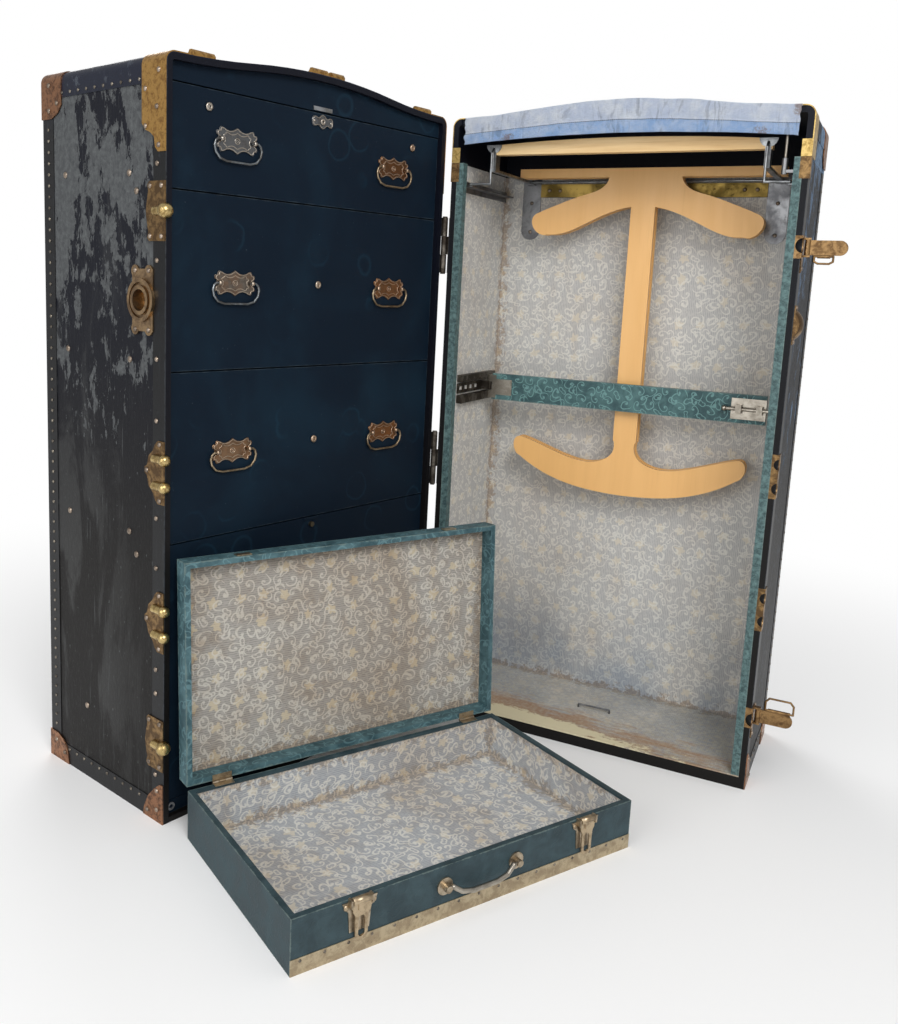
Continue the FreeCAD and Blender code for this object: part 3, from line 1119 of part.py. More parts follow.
# ------------------------------------------------------------------ nodes
def all_nodes():
    """Every node as name, frame and its solids in that frame."""
    nodes = [
        ("drawer_half_shell", DRAWER_FRAME, [drawer_half_shell()]),
        ("drawer_half_binding", DRAWER_FRAME, [drawer_half_binding()]),
        ("drawer_half_corners", DRAWER_FRAME,
         [cap.cut(knob_pockets()) for cap in corner_caps(DRAWER_HALF_DEPTH)] + top_clips()),
        ("knob_plates", DRAWER_FRAME, knob_plates()),
        ("guide_knobs", DRAWER_FRAME, guide_knobs()),
        ("lock_socket", DRAWER_FRAME, [lock_socket()]),
        ("front_rails", DRAWER_FRAME, front_rails()),
        ("cabinet_frame", DRAWER_FRAME, cabinet_frame()),
        ("strike_plates", DRAWER_FRAME, strike_plates()),
        ("hinge_leaves_fixed", DRAWER_FRAME, hinge_leaf(True)),
        ("hinge_pins", DRAWER_FRAME, hinge_pins()),
        ("bottom_front_panel", DRAWER_FRAME, bottom_front_panel()),
        ("bottom_catch", DRAWER_FRAME, [bottom_catch()]),
    ]
    for index in range(len(DRAWER_LINES) - 1):
        name = f"drawer_{len(DRAWER_LINES) - 1 - index}"
        nodes.append((f"{name}_box", DRAWER_FRAME, [drawer_box(index)]))
        nodes.append((f"{name}_front", DRAWER_FRAME, [drawer_front(index)]))
        nodes.append((f"{name}_fittings", DRAWER_FRAME, drawer_fittings(index)))
        for side, word in ((-1, "left"), (1, "right")):
            pull = bail(MIDDLE + side * PULL_SPREAD, PULL_HEIGHTS[index])
            nodes.append((f"{name}_bail_{word}", DRAWER_FRAME, [pull]))
    nodes += [
        ("hanger_half_shell", HANGER_FRAME, [hanger_half_shell()]),
        ("hanger_half_binding", HANGER_FRAME, [hanger_half_binding()]),
        ("hanger_half_corners", HANGER_FRAME, hanger_half_corners()),
        ("hanger_half_lining", HANGER_FRAME, [hanger_half_lining()]),
        ("rim_frame", HANGER_FRAME, rim_frame()),
        ("hinge_leaves_swing", HANGER_FRAME, hinge_leaf(False)),
        ("notch_plates", HANGER_FRAME, notch_plates()),
        ("draw_bolt_bases", HANGER_FRAME, draw_bolt_bases()),
        ("trolley_tracks", HANGER_FRAME, trolley_tracks() + body_top_fittings()),
        ("back_rail", HANGER_FRAME, [back_rail()]),
        ("bar_brackets", HANGER_FRAME, bar_brackets()),
        ("lift_top_shell", HANGER_FRAME, lift_top_shell()),
        ("lift_top_fittings", HANGER_FRAME, lift_top_fittings()),
        ("curtain", HANGER_FRAME, [curtain()]),
        ("trolley_bar", HANGER_FRAME, [trolley_bar()]),
        ("trolley_carriage", HANGER_FRAME, [trolley_carriage()]),
        ("retaining_bar", HANGER_FRAME, [retaining_bar()]),
        ("bar_fittings", HANGER_FRAME, bar_fittings()),
        ("bar_bolt", HANGER_FRAME, [bar_bolt()]),
        ("case_base_shell", CASE_FRAME, [case_base_shell()]),
        ("case_base_fittings", CASE_FRAME, case_base_fittings()),
        ("case_lid_shell", LID_FRAME, [case_lid_shell()]),
        ("case_lid_fittings", LID_FRAME, case_lid_fittings()),
        ("case_handle", CASE_FRAME, [case_handle()]),
    ]
    for index in range(len(HANGER_PLANES)):
        nodes.append((f"hanger_{index + 1}", HANGER_FRAME, [suit_hanger(index)]))
    for index, word in enumerate(("lower", "upper")):
        nodes.append((f"{word}_draw_lever", HANGER_FRAME, [draw_lever(index)]))
        nodes.append((f"{word}_draw_ring", HANGER_FRAME, [draw_ring(index)]))
    for index, word in enumerate(("left", "right")):
        nodes.append((f"case_latch_{word}", CASE_FRAME, [case_latch(index)]))
    return nodes


def write_parts():
    os.makedirs("parts", exist_ok=True)
    for name, frame, solids in all_nodes():
        group = Part.makeCompound([solid.copy() for solid in solids])
        group.Placement = frame.multiply(group.Placement)
        group.exportStep(f"parts/{name}.step")


write_parts()
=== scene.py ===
"""Dresses the wardrobe trunk: finishes, paper linings, nails, rivets and the cloth curtain."""

from __future__ import annotations

import json
import logging
import math

from dataclasses import dataclass, field
from enum import Enum

import bmesh
import bpy
from mathutils import Matrix, Vector, noise

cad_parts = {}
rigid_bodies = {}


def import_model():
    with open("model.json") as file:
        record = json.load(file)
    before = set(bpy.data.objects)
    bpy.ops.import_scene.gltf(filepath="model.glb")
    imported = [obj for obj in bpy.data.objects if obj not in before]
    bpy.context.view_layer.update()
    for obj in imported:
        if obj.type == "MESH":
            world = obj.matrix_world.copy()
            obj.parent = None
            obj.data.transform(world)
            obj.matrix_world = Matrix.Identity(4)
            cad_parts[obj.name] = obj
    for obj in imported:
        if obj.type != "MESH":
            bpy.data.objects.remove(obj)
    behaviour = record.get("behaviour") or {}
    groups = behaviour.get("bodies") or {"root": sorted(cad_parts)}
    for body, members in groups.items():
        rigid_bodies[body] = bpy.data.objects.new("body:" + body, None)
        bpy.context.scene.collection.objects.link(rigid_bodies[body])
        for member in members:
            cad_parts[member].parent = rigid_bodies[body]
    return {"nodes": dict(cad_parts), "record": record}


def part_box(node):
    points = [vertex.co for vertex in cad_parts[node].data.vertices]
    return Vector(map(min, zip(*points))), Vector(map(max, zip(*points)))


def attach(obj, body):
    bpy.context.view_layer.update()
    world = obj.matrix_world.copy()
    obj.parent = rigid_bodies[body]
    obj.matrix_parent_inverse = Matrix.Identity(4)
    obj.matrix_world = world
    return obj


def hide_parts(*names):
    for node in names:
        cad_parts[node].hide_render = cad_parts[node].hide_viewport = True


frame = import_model()

log = logging.getLogger("wardrobe_trunk")
Socket = bpy.types.NodeSocket
Tree = bpy.types.NodeTree
Mesh = bmesh.types.BMesh
Feed = object  # a node socket, or the constant that goes on one
ZERO = (0.0, 0.0, 0.0)
WHITE = (1.0, 1.0, 1.0, 1.0)
FAR_LOW = (-9.0, -9.0, -9.0)  # corners of a box whose edges no piece reaches
FAR_HIGH = (9.0, 9.0, 9.0)
NOISE_HIGH = 0.66  # fractal noise seldom rises above this
NOISE_SPAN = 0.32  # and seldom falls further than this below it
LEVEL_FROM = 0.7  # a face whose normal rises by more than this counts as level
THREAD_PITCH = 0.0011  # metres between the threads of the woven cloths
ONE_HEAD = 1.0  # a spacing longer than any run that holds one head


def tint(code: str) -> tuple[float, float, float, float]:
    """Linear colour from a six-figure screen colour.

    Args:
        code: The colour as six hexadecimal figures.

    Returns:
        Red, green, blue and full alpha in linear light.
    """
    parts = [int(code[i : i + 2], 16) / 255 for i in (0, 2, 4)]
    linear = [c / 12.92 if c <= 0.04045 else ((c + 0.055) / 1.055) ** 2.4 for c in parts]
    return (*linear, 1.0)


# ---------------------------------------------------------------- node building


class Graph:
    """Adds and links the nodes of one tree."""

    def __init__(self, tree: Tree) -> None:
        """Keeps the tree that is written to."""
        self.tree = tree

    def add(self, kind: str, feeds: dict | None = None, **settings: object) -> bpy.types.Node:
        """Adds a node.

        Args:
            kind: The node's type name.
            feeds: What goes into its inputs, by name or number.
            settings: Attributes of the node.

        Returns:
            The new node.
        """
        node = self.tree.nodes.new(kind)
        for key, value in settings.items():
            setattr(node, key, value)
        for key, value in (feeds or {}).items():
            self.feed(node.inputs[key], value)
        return node

    def first(self, kind: str, feeds: dict, **settings: object) -> Socket:
        """The first output of a new node."""
        return self.add(kind, feeds, **settings).outputs[0]

    def declare(self, name: str, kind: str, way: str = "INPUT") -> bpy.types.NodeTreeInterfaceSocket:
        """Declares an input or output of the tree, such as a Float or a Vector."""
        return self.tree.interface.new_socket(name=name, in_out=way, socket_type="NodeSocket" + kind)

    def ends(self) -> tuple[dict, bpy.types.Node]:
        """Adds the nodes that the tree is entered and left by: the first's sockets by name, and the last."""
        entry = self.tree.nodes.new("NodeGroupInput")
        return {s.name: s for s in entry.outputs if s.name}, self.tree.nodes.new("NodeGroupOutput")

    def feed(self, socket: Socket, value: Feed) -> None:
        """Links a socket, or sets the constant on it."""
        if isinstance(value, Socket):
            self.tree.links.new(value, socket)
        else:
            socket.default_value = value

    def calc(self, operation: str, a: Feed, b: Feed = 0.0, clamp: bool = False) -> Socket:
        """Result of a maths node on one or two values."""
        return self.first("ShaderNodeMath", {0: a, 1: b}, operation=operation, use_clamp=clamp)

    def times(self, a: Feed, b: Feed) -> Socket:
        """Product of two values."""
        return self.calc("MULTIPLY", a, b)

    def plus(self, a: Feed, b: Feed, clamp: bool = False) -> Socket:
        """Sum of two values."""
        return self.calc("ADD", a, b, clamp)

    def minus(self, a: Feed, b: Feed) -> Socket:
        """Difference of two values."""
        return self.calc("SUBTRACT", a, b)

    def most(self, a: Feed, b: Feed) -> Socket:
        """The greater of two values."""
        return self.calc("MAXIMUM", a, b)

    def vector(self, operation: str, a: Feed, b: Feed = ZERO) -> Socket:
        """Result of a vector maths node."""
        node = self.add("ShaderNodeVectorMath", {0: a, 1: b}, operation=operation)
        return node.outputs["Value" if operation in ("LENGTH", "DOT_PRODUCT") else "Vector"]

    def stretch(self, vector: Feed, factors: Feed) -> Socket:
        """The vector with each part times its own factor."""
        return self.vector("MULTIPLY", vector, factors)

    def mix(self, factor: Feed, a: Feed, b: Feed, blend: str = "MIX") -> Socket:
        """Colour between a and b, which are sockets or colour codes."""
        a, b = (tint(end) if isinstance(end, str) else end for end in (a, b))
        node = self.add("ShaderNodeMix", {0: factor, 6: a, 7: b}, data_type="RGBA", blend_type=blend)
        return node.outputs[2]

    def step(
        self, value: Feed, low: Feed, high: Feed, to_low: Feed = 0.0, to_high: Feed = 1.0
    ) -> Socket:
        """Smooth step from to_low to to_high as value goes from low to high."""
        feeds = {0: value, 1: low, 2: high, 3: to_low, 4: to_high}
        return self.first("ShaderNodeMapRange", feeds, interpolation_type="SMOOTHSTEP")

    def noise(
        self, vector: Feed, scale: Feed, detail: float = 4.0, rough: float = 0.55, twist: float = 0.0
    ) -> Socket:
        """Fractal noise about 0.5."""
        feeds = {"Vector": vector, "Scale": scale, "Detail": detail, "Roughness": rough, "Distortion": twist}
        return self.add("ShaderNodeTexNoise", feeds).outputs["Fac"]

    def split(self, vector: Feed) -> list[Socket]:
        """The three parts of a vector."""
        return list(self.add("ShaderNodeSeparateXYZ", {0: vector}).outputs)

    def join(self, x: Feed, y: Feed, z: Feed = 0.0) -> Socket:
        """A vector from its three parts."""
        return self.first("ShaderNodeCombineXYZ", {0: x, 1: y, 2: z})

    def effect(self, effect: Effect, feeds: dict) -> bpy.types.Node:
        """Places a shared effect."""
        return self.add("ShaderNodeGroup", feeds, node_tree=EFFECTS.get(effect))


def blank_graph(owner: bpy.types.Material | bpy.types.World) -> Graph:
    """Turns on the nodes of a material or a world and empties them."""
    owner.use_nodes = True
    owner.node_tree.nodes.clear()
    return Graph(owner.node_tree)


class Effect(Enum):
    """Shared effects, each built once as a node group."""

    FLAT = "flat_coordinates"
    RAGGED = "ragged_patches"
    SCROLLS = "printed_scrolls"
    GRAIN = "wood_grain"
    WEAVE = "thread_weave"
    EDGES = "worn_edges"
    SCRATCHES = "upright_scratches"


class Effects:
    """Builds the shared node groups and hands them out."""

    def __init__(self) -> None:
        """Starts with no group built."""
        self.built: dict[Effect, Tree] = {}

    def get(self, effect: Effect) -> Tree:
        """The group of an effect, built on first use."""
        if effect not in self.built:
            self.built[effect] = getattr(self, "_" + effect.name.lower())()
        return self.built[effect]

    def _start(
        self, effect: Effect, inputs: dict, outputs: tuple, kind: str = "Float"
    ) -> tuple[Graph, dict, bpy.types.Node]:
        """Opens a group.

        Args:
            effect: The effect, whose value names the group.
            inputs: Input names with their defaults; a tuple makes a vector socket.
            outputs: Output names.
            kind: The outputs' kind.

        Returns:
            The graph, its input sockets by name, and its output node.
        """
        g = Graph(bpy.data.node_groups.new(effect.value, "ShaderNodeTree"))
        for key, value in inputs.items():
            g.declare(key, "Vector" if isinstance(value, tuple) else "Float").default_value = value
        for key in outputs:
            g.declare(key, kind, "OUTPUT")
        return (g, *g.ends())

    def _flat(self) -> Tree:
        """Two coordinates in the plane that a surface faces least along."""
        inputs = {"Place": ZERO, "Facing": ZERO}
        g, given, leave = self._start(Effect.FLAT, inputs, ("Flat",), "Vector")
        x, y, z = g.split(given["Place"])
        nx, ny, nz = g.split(g.vector("ABSOLUTE", given["Facing"]))
        level = g.calc("GREATER_THAN", nz, LEVEL_FROM)
        sideways = g.calc("GREATER_THAN", nx, ny)
        upright = g.first("ShaderNodeMix", {0: sideways, 2: x, 3: y})
        flat_a = g.first("ShaderNodeMix", {0: level, 2: upright, 3: x})
        flat_b = g.first("ShaderNodeMix", {0: level, 2: z, 3: y})
        g.feed(leave.inputs["Flat"], g.join(flat_a, flat_b))
        return g.tree

    def _ragged(self) -> Tree:
        """Patches with torn edges, and the finer grit that breaks them up."""
        inputs = {"Place": ZERO, "Scale": 6.0, "Cover": 0.4, "Soft": 0.012}
        g, given, leave = self._start(Effect.RAGGED, inputs, ("Mask", "Grit"))
        broad = g.noise(given["Place"], given["Scale"], 10.0, 0.72, 0.25)
        limit = g.minus(NOISE_HIGH, g.times(given["Cover"], NOISE_SPAN))
        low = g.minus(limit, given["Soft"])
        high = g.plus(limit, given["Soft"])
        g.feed(leave.inputs["Mask"], g.step(broad, low, high))
        grit_scale = g.times(given["Scale"], 9.0)
        g.feed(leave.inputs["Grit"], g.noise(given["Place"], grit_scale, 6.0, 0.7))
        return g.tree

    def _scrolls(self) -> Tree:
        """Open curls in loose cells, leaf loops between them, and solid petalled blooms."""
        inputs = {"Flat": ZERO, "Cell": 0.02, "Line": 0.045}
        g, given, leave = self._start(Effect.SCROLLS, inputs, ("Lines", "Blooms"))
        size = g.calc("DIVIDE", 1.0, given["Cell"])
        scaled = g.stretch(given["Flat"], g.join(size, size))
        sway_a = g.minus(g.noise(scaled, 0.7, 1.0), 0.5)
        sway_b = g.minus(g.noise(g.vector("ADD", scaled, (31.0, 17.0, 0.0)), 0.7, 1.0), 0.5)
        sway = g.join(g.times(sway_a, 0.7), g.times(sway_b, 0.7))
        placed = g.vector("ADD", scaled, sway)

        def cell(offset: float, scale: float) -> tuple:
            """A random value, and the radius and turn inside the cells of one grid."""
            moved = g.stretch(g.vector("ADD", placed, (offset, offset, 0.0)), (scale, scale, 0.0))
            key = g.vector("FLOOR", moved)
            luck = g.add("ShaderNodeTexWhiteNoise", {"Vector": key}, noise_dimensions="3D")
            ra, rb, rc = g.split(luck.outputs["Color"])
            off = g.times(g.minus(rc, 0.5), 0.16)
            centre = g.join(g.plus(0.5, off), g.minus(0.5, off))
            inner = g.vector("SUBTRACT", g.vector("SUBTRACT", moved, key), centre)
            flip = g.minus(g.times(g.calc("GREATER_THAN", rb, 0.5), 2.0), 1.0)
            ix, iy, _ = g.split(inner)
            angle = g.calc("ARCTAN2", iy, g.times(ix, flip))
            turn = g.plus(g.calc("DIVIDE", angle, math.tau), ra)
            return rc, g.vector("LENGTH", inner), turn

        def curl(offset: float, scale: float, winds: float, limit: float) -> Socket:
            """Line of a curl that thins towards its outer end, with a ball in its eye."""
            _, radius, turn = cell(offset, scale)
            wound = g.calc("FRACT", g.plus(turn, g.times(radius, winds)))
            gap = g.calc("DIVIDE", g.calc("ABSOLUTE", g.minus(wound, 0.5)), winds)
            breadth = g.times(given["Line"], g.minus(1.2, radius))
            drawn = g.step(gap, breadth, g.times(breadth, 0.5))
            drawn = g.times(drawn, g.calc("LESS_THAN", radius, limit))
            return g.most(drawn, g.step(radius, 0.10, 0.07))

        large = curl(offset=0.0, scale=1.0, winds=2.1, limit=0.46)
        curls = g.most(large, curl(offset=0.37, scale=0.8, winds=1.8, limit=0.38))
        luck, radius, turn = cell(0.5, 1.0)
        wave = g.calc("COSINE", g.times(turn, 2 * math.tau))
        leaf_radius = g.plus(0.18, g.times(wave, 0.09))
        off_leaf = g.calc("ABSOLUTE", g.minus(radius, leaf_radius))
        leaf = g.step(off_leaf, given["Line"], g.times(given["Line"], 0.5))
        leaf = g.times(leaf, g.calc("LESS_THAN", luck, 0.6))
        g.feed(leave.inputs["Lines"], g.most(curls, leaf))
        luck, radius, turn = cell(0.2, 0.62)
        petals = g.calc("COSINE", g.times(turn, 5 * math.tau))
        torn = g.times(g.minus(g.noise(placed, 6.0, 4.0, 0.65), 0.5), 0.3)
        bloom_radius = g.plus(g.plus(0.2, g.times(petals, 0.045)), torn)
        bloom = g.step(radius, bloom_radius, g.minus(bloom_radius, 0.03))
        g.feed(leave.inputs["Blooms"], g.times(bloom, g.calc("GREATER_THAN", luck, 0.22)))
        return g.tree

    def _grain(self) -> Tree:
        """Long grain streaks with fine pores, running along the third axis."""
        inputs = {"Place": ZERO, "Stretch": 0.06}
        g, given, leave = self._start(Effect.GRAIN, inputs, ("Streaks", "Pores"))
        x, y, z = g.split(given["Place"])
        along = g.join(x, y, g.times(z, given["Stretch"]))
        g.feed(leave.inputs["Streaks"], g.noise(along, 55.0, 5.0, 0.6, 0.6))
        fine = g.join(x, y, g.times(z, g.times(given["Stretch"], 0.5)))
        g.feed(leave.inputs["Pores"], g.noise(fine, 420.0, 2.0, 0.5))
        return g.tree

    def _weave(self) -> Tree:
        """Over-and-under threads of a plain weave."""
        inputs = {"Flat": ZERO, "Pitch": 0.0012}
        g, given, leave = self._start(Effect.WEAVE, inputs, ("Height",))
        rate = g.calc("DIVIDE", math.pi, given["Pitch"])
        x, y, _ = g.split(given["Flat"])
        a = g.calc("SINE", g.times(x, rate))
        b = g.calc("SINE", g.times(y, rate))
        g.feed(leave.inputs["Height"], g.plus(g.times(g.times(a, b), 0.5), 0.5))
        return g.tree

    def _edges(self) -> Tree:
        """Ragged wear along the edges of a box-shaped piece."""
        inputs = {"Place": ZERO, "Low": ZERO, "High": ZERO, "Width": 0.004}
        g, given, leave = self._start(Effect.EDGES, inputs, ("Mask",))
        from_low = g.split(g.vector("ABSOLUTE", g.vector("SUBTRACT", given["Place"], given["Low"])))
        from_high = g.split(g.vector("ABSOLUTE", g.vector("SUBTRACT", given["High"], given["Place"])))
        a, b, c = (g.calc("MINIMUM", near, far) for near, far in zip(from_low, from_high))
        wider = g.calc("MINIMUM", g.most(a, b), c)
        to_edge = g.most(g.calc("MINIMUM", a, b), wider)
        uneven = g.step(g.noise(given["Place"], 80.0, 6.0, 0.7), 0.34, 0.7, 0.0, 2.4)
        reach = g.times(given["Width"], uneven)
        g.feed(leave.inputs["Mask"], g.step(to_edge, reach, g.times(reach, 0.5)))
        return g.tree

    def _scratches(self) -> Tree:
        """Fine upright scratches and short specks."""
        g, given, leave = self._start(Effect.SCRATCHES, {"Place": ZERO}, ("Mask",))
        long_lines = g.noise(g.stretch(given["Place"], (1.0, 1.0, 0.035)), 260.0, 3.0, 0.6)
        broken = g.step(g.noise(given["Place"], 11.0, 5.0, 0.7), 0.42, 0.62)
        lines = g.times(g.step(long_lines, 0.6, 0.7), broken)
        short = g.noise(g.stretch(given["Place"], (1.0, 1.0, 0.4)), 230.0, 3.0, 0.6)
        specks = g.step(short, 0.665, 0.73)
        g.feed(leave.inputs["Mask"], g.most(g.times(lines, 0.7), specks))
        return g.tree


EFFECTS = Effects()


# ---------------------------------------------------------------- finishes


@dataclass(frozen=True)
class Surface:
    """What a finish paints with: the graph, the shader and places on the piece."""

    g: Graph
    shader: bpy.types.Node
    place: Feed  # place in the sub-assembly's own frame
    flat: Feed  # two coordinates in the surface
    low: Vector  # lowest corner of the piece's box in that frame
    high: Vector  # highest corner

    def colour(self, value: Feed) -> None:
        """Feeds the base colour."""
        self.g.feed(self.shader.inputs["Base Color"], value)

    def rough(self, value: Feed) -> None:
        """Feeds the roughness."""
        self.g.feed(self.shader.inputs["Roughness"], value)

    def relief(self, height: Feed, depth: float, strength: float = 1.0) -> None:
        """Feeds the normal from a height.

        Args:
            height: Height from 0 to 1.
            depth: The height's real size in metres.
            strength: How strongly the relief shows.
        """
        feeds = {"Height": height, "Distance": depth, "Strength": strength}
        self.g.feed(self.shader.inputs["Normal"], self.g.first("ShaderNodeBump", feeds))

    def ragged(
        self, scale: float, cover: Feed, soft: float = 0.012, squash: float = 1.0
    ) -> tuple[Socket, Socket]:
        """Torn patches and their grit, drawn out upright where squash is below 1."""
        feeds = {"Place": self.squashed(squash), "Scale": scale, "Cover": cover, "Soft": soft}
        made = self.g.effect(Effect.RAGGED, feeds)
        return made.outputs["Mask"], made.outputs["Grit"]

    def shine(self, level: float) -> None:
        """Sets how strongly the surface mirrors, the same all over."""
        self.shader.inputs["Specular IOR Level"].default_value = level

    def scratches(self) -> Socket:
        """Upright scratches and specks."""
        return self.g.effect(Effect.SCRATCHES, {"Place": self.place}).outputs["Mask"]

    def scrolls(self, cell: float, breadth: float) -> bpy.types.Node:
        """Printed scrolls in cells of this size, with lines of this half width in cells."""
        return self.g.effect(Effect.SCROLLS, {"Flat": self.flat, "Cell": cell, "Line": breadth})

    def weave(self, flat: Feed) -> Socket:
        """Height of the threads laid out by two coordinates."""
        return self.g.effect(Effect.WEAVE, {"Flat": flat, "Pitch": THREAD_PITCH}).outputs[0]

    def squashed(self, factor: float) -> Socket:
        """The place with its height times a factor: a pattern on it is drawn out upright below 1."""
        return self.g.stretch(self.place, (1.0, 1.0, factor))

    def aside(self, x: Feed) -> Socket:
        """How far x is from the middle of the piece's box."""
        return self.g.calc("ABSOLUTE", self.g.minus(x, (self.low.x + self.high.x) / 2))

    def half_width(self) -> float:
        """Half of the box's width across the rim."""
        return (self.high.x - self.low.x) / 2

    def edges(self, width: float) -> Socket:
        """Wear along the edges of the piece's box."""
        feeds = {"Place": self.place, "Low": self.low, "High": self.high, "Width": width}
        return self.g.effect(Effect.EDGES, feeds).outputs["Mask"]


@dataclass(frozen=True)
class Finish:
    """A surface finish; each kind paints its own colour, roughness and relief."""

    def paint(self, s: Surface) -> None:
        """Feeds the shader; each kind of finish has its own."""
        raise NotImplementedError

    def material(
        self, name: str, station: Station, low: Vector, high: Vector, on_uv: bool
    ) -> bpy.types.Material:
        """Makes the material.

        Args:
            name: The material's name.
            station: Frame of the sub-assembly that the pattern follows.
            low: Lowest corner of the piece in that frame.
            high: Highest corner.
            on_uv: Whether the pattern follows the piece's own UV map.

        Returns:
            The new material.
        """
        made = bpy.data.materials.new(name)
        g = blank_graph(made)
        coords = g.add("ShaderNodeTexCoord")
        back = station.matrix.inverted()
        shift, turn = tuple(back.to_translation()), tuple(back.to_euler("XYZ"))
        place = g.first("ShaderNodeMapping", {0: coords.outputs["Object"], 1: shift, 2: turn})
        facing = g.first("ShaderNodeMapping", {0: coords.outputs["Normal"], 2: turn})
        flat = coords.outputs["UV"]
        if not on_uv:
            flat = g.effect(Effect.FLAT, {"Place": place, "Facing": facing}).outputs[0]
        shader = g.add("ShaderNodeBsdfPrincipled")
        self.paint(Surface(g, shader, place, flat, low, high))
        g.add("ShaderNodeOutputMaterial", {"Surface": shader.outputs[0]})
        return made


@dataclass(frozen=True)
class CoatedCanvas(Finish):
    """Painted canvas whose dark coat has flaked to grey outside, most near the top."""

    coat: str = "060915"  # dark coat near the top
    low_coat: str = "100e0d"  # browner coat near the foot
    under: str = "454749"  # grey below the coat
    pale: str = "56595a"
    smear: str = "454646"  # dull grey rubs near the foot
    cover: float = -0.5  # share flaked at the foot
    top_cover: float = 0.66  # share flaked at the top
    flaking: tuple = (0.42, 0.92)  # heights between which the share grows
    drift: float = 1.7  # how unevenly the flakes gather
    fine_cover: float = 0.30  # share of the finer flakes
    back_cover: float = 0.45  # share added towards the back
    back_line: float = 0.225  # flakes gather behind this depth
    rim_line: float = 0.026  # no flakes in front of this depth
    shell: float = 0.004  # flakes reach this deep below the outside
    squash: float = 0.42
    scale: float = 29.0
    fine_scale: float = 56.0
    shine: float = 0.2

    def paint(self, s: Surface) -> None:
        """Two coats by height, torn patches of two sizes, strokes of coat left in them, and scratches."""
        g = s.g
        x, y, z = g.split(s.place)
        cover = g.step(z, *self.flaking, self.cover, self.top_cover)
        behind = g.times(g.step(y, self.back_line - 0.03, self.back_line + 0.02), g.step(z, 0.25, 0.6))
        drift = g.times(g.minus(g.noise(s.place, 9.0, 3.0), 0.5), self.drift)
        cover = g.plus(g.plus(cover, g.times(behind, self.back_cover)), drift)
        patches, torn = s.ragged(self.scale, cover, 0.004, self.squash)
        fine_cover = g.plus(g.times(drift, 0.7), g.step(z, 0.3, 0.62, -0.35, self.fine_cover))
        flakes, _ = s.ragged(self.fine_scale, fine_cover, 0.006, self.squash)
        kept, _ = s.ragged(34.0, g.step(z, 0.65, 0.95, -0.4, 0.18), 0.006, 0.3)
        bare = g.times(patches, g.minus(1.0, kept))
        bare = g.most(bare, flakes)
        grit = g.step(torn, 0.34, 0.5)
        outside = g.calc("GREATER_THAN", s.aside(x), s.half_width() - self.shell)
        outside = g.most(outside, g.calc("GREATER_THAN", y, s.high.y - self.shell))
        outside = g.times(outside, g.calc("GREATER_THAN", y, self.rim_line))
        bare = g.times(bare, g.plus(0.6, g.times(grit, 0.4)))
        bare = g.times(bare, outside)
        coat = g.mix(g.step(z, 0.3, 0.75), self.low_coat, self.coat)
        smears = g.noise(s.squashed(0.3), 13.0, 8.0, 0.66, 0.6)
        smeared = g.times(g.step(smears, 0.5, 0.6), g.step(z, 0.55, 0.1, 0.2, 0.4))
        smeared = g.times(smeared, g.step(y, 0.06, 0.2, 0.4, 1.5))
        coat = g.mix(g.times(smeared, outside), coat, self.smear)
        coat = g.mix(g.times(g.times(s.scratches(), outside), 0.85), coat, self.pale)
        under = g.mix(g.step(g.noise(s.place, 110.0, 5.0, 0.7), 0.36, 0.7), self.under, self.pale)
        s.colour(g.mix(bare, coat, under))
        s.rough(g.plus(g.times(bare, 0.25), g.plus(0.42, g.times(grit, 0.1))))
        s.shine(self.shine)
        s.relief(g.minus(torn, g.times(bare, 0.8)), 0.0006, 0.7)


@dataclass(frozen=True)
class Fibre(Finish):
    """Nearly black vulcanised fibre, bluer at the top, scuffed in thin strokes."""

    base: str = "08090c"
    top: str = "0b1224"
    scuff: str = "4a5058"
    cover: float = -0.18  # share scuffed
    top_cover: float = 0.22  # share scuffed above the walls
    above: tuple = (0.93, 1.0)  # heights between which the walls end
    edge: float = 0.0014
    roughness: float = 0.4
    shine: float = 0.3

    def paint(self, s: Surface) -> None:
        """Dark fibre with scuffs, scratches and worn edges."""
        g = s.g
        high = g.step(g.split(s.place)[2], *self.above)
        base = g.mix(high, self.base, self.top)
        cover = g.plus(self.cover, g.times(high, self.top_cover - self.cover))
        patches, grit = s.ragged(46.0, cover, 0.012, 0.8)
        worn = g.most(g.times(patches, 0.55), g.times(s.scratches(), 0.35))
        worn = g.most(worn, g.times(s.edges(self.edge), 0.25))
        s.colour(g.mix(worn, base, self.scuff))
        s.rough(g.plus(self.roughness, g.times(worn, 0.3)))
        s.shine(self.shine)
        s.relief(grit, 0.0004, 0.5)


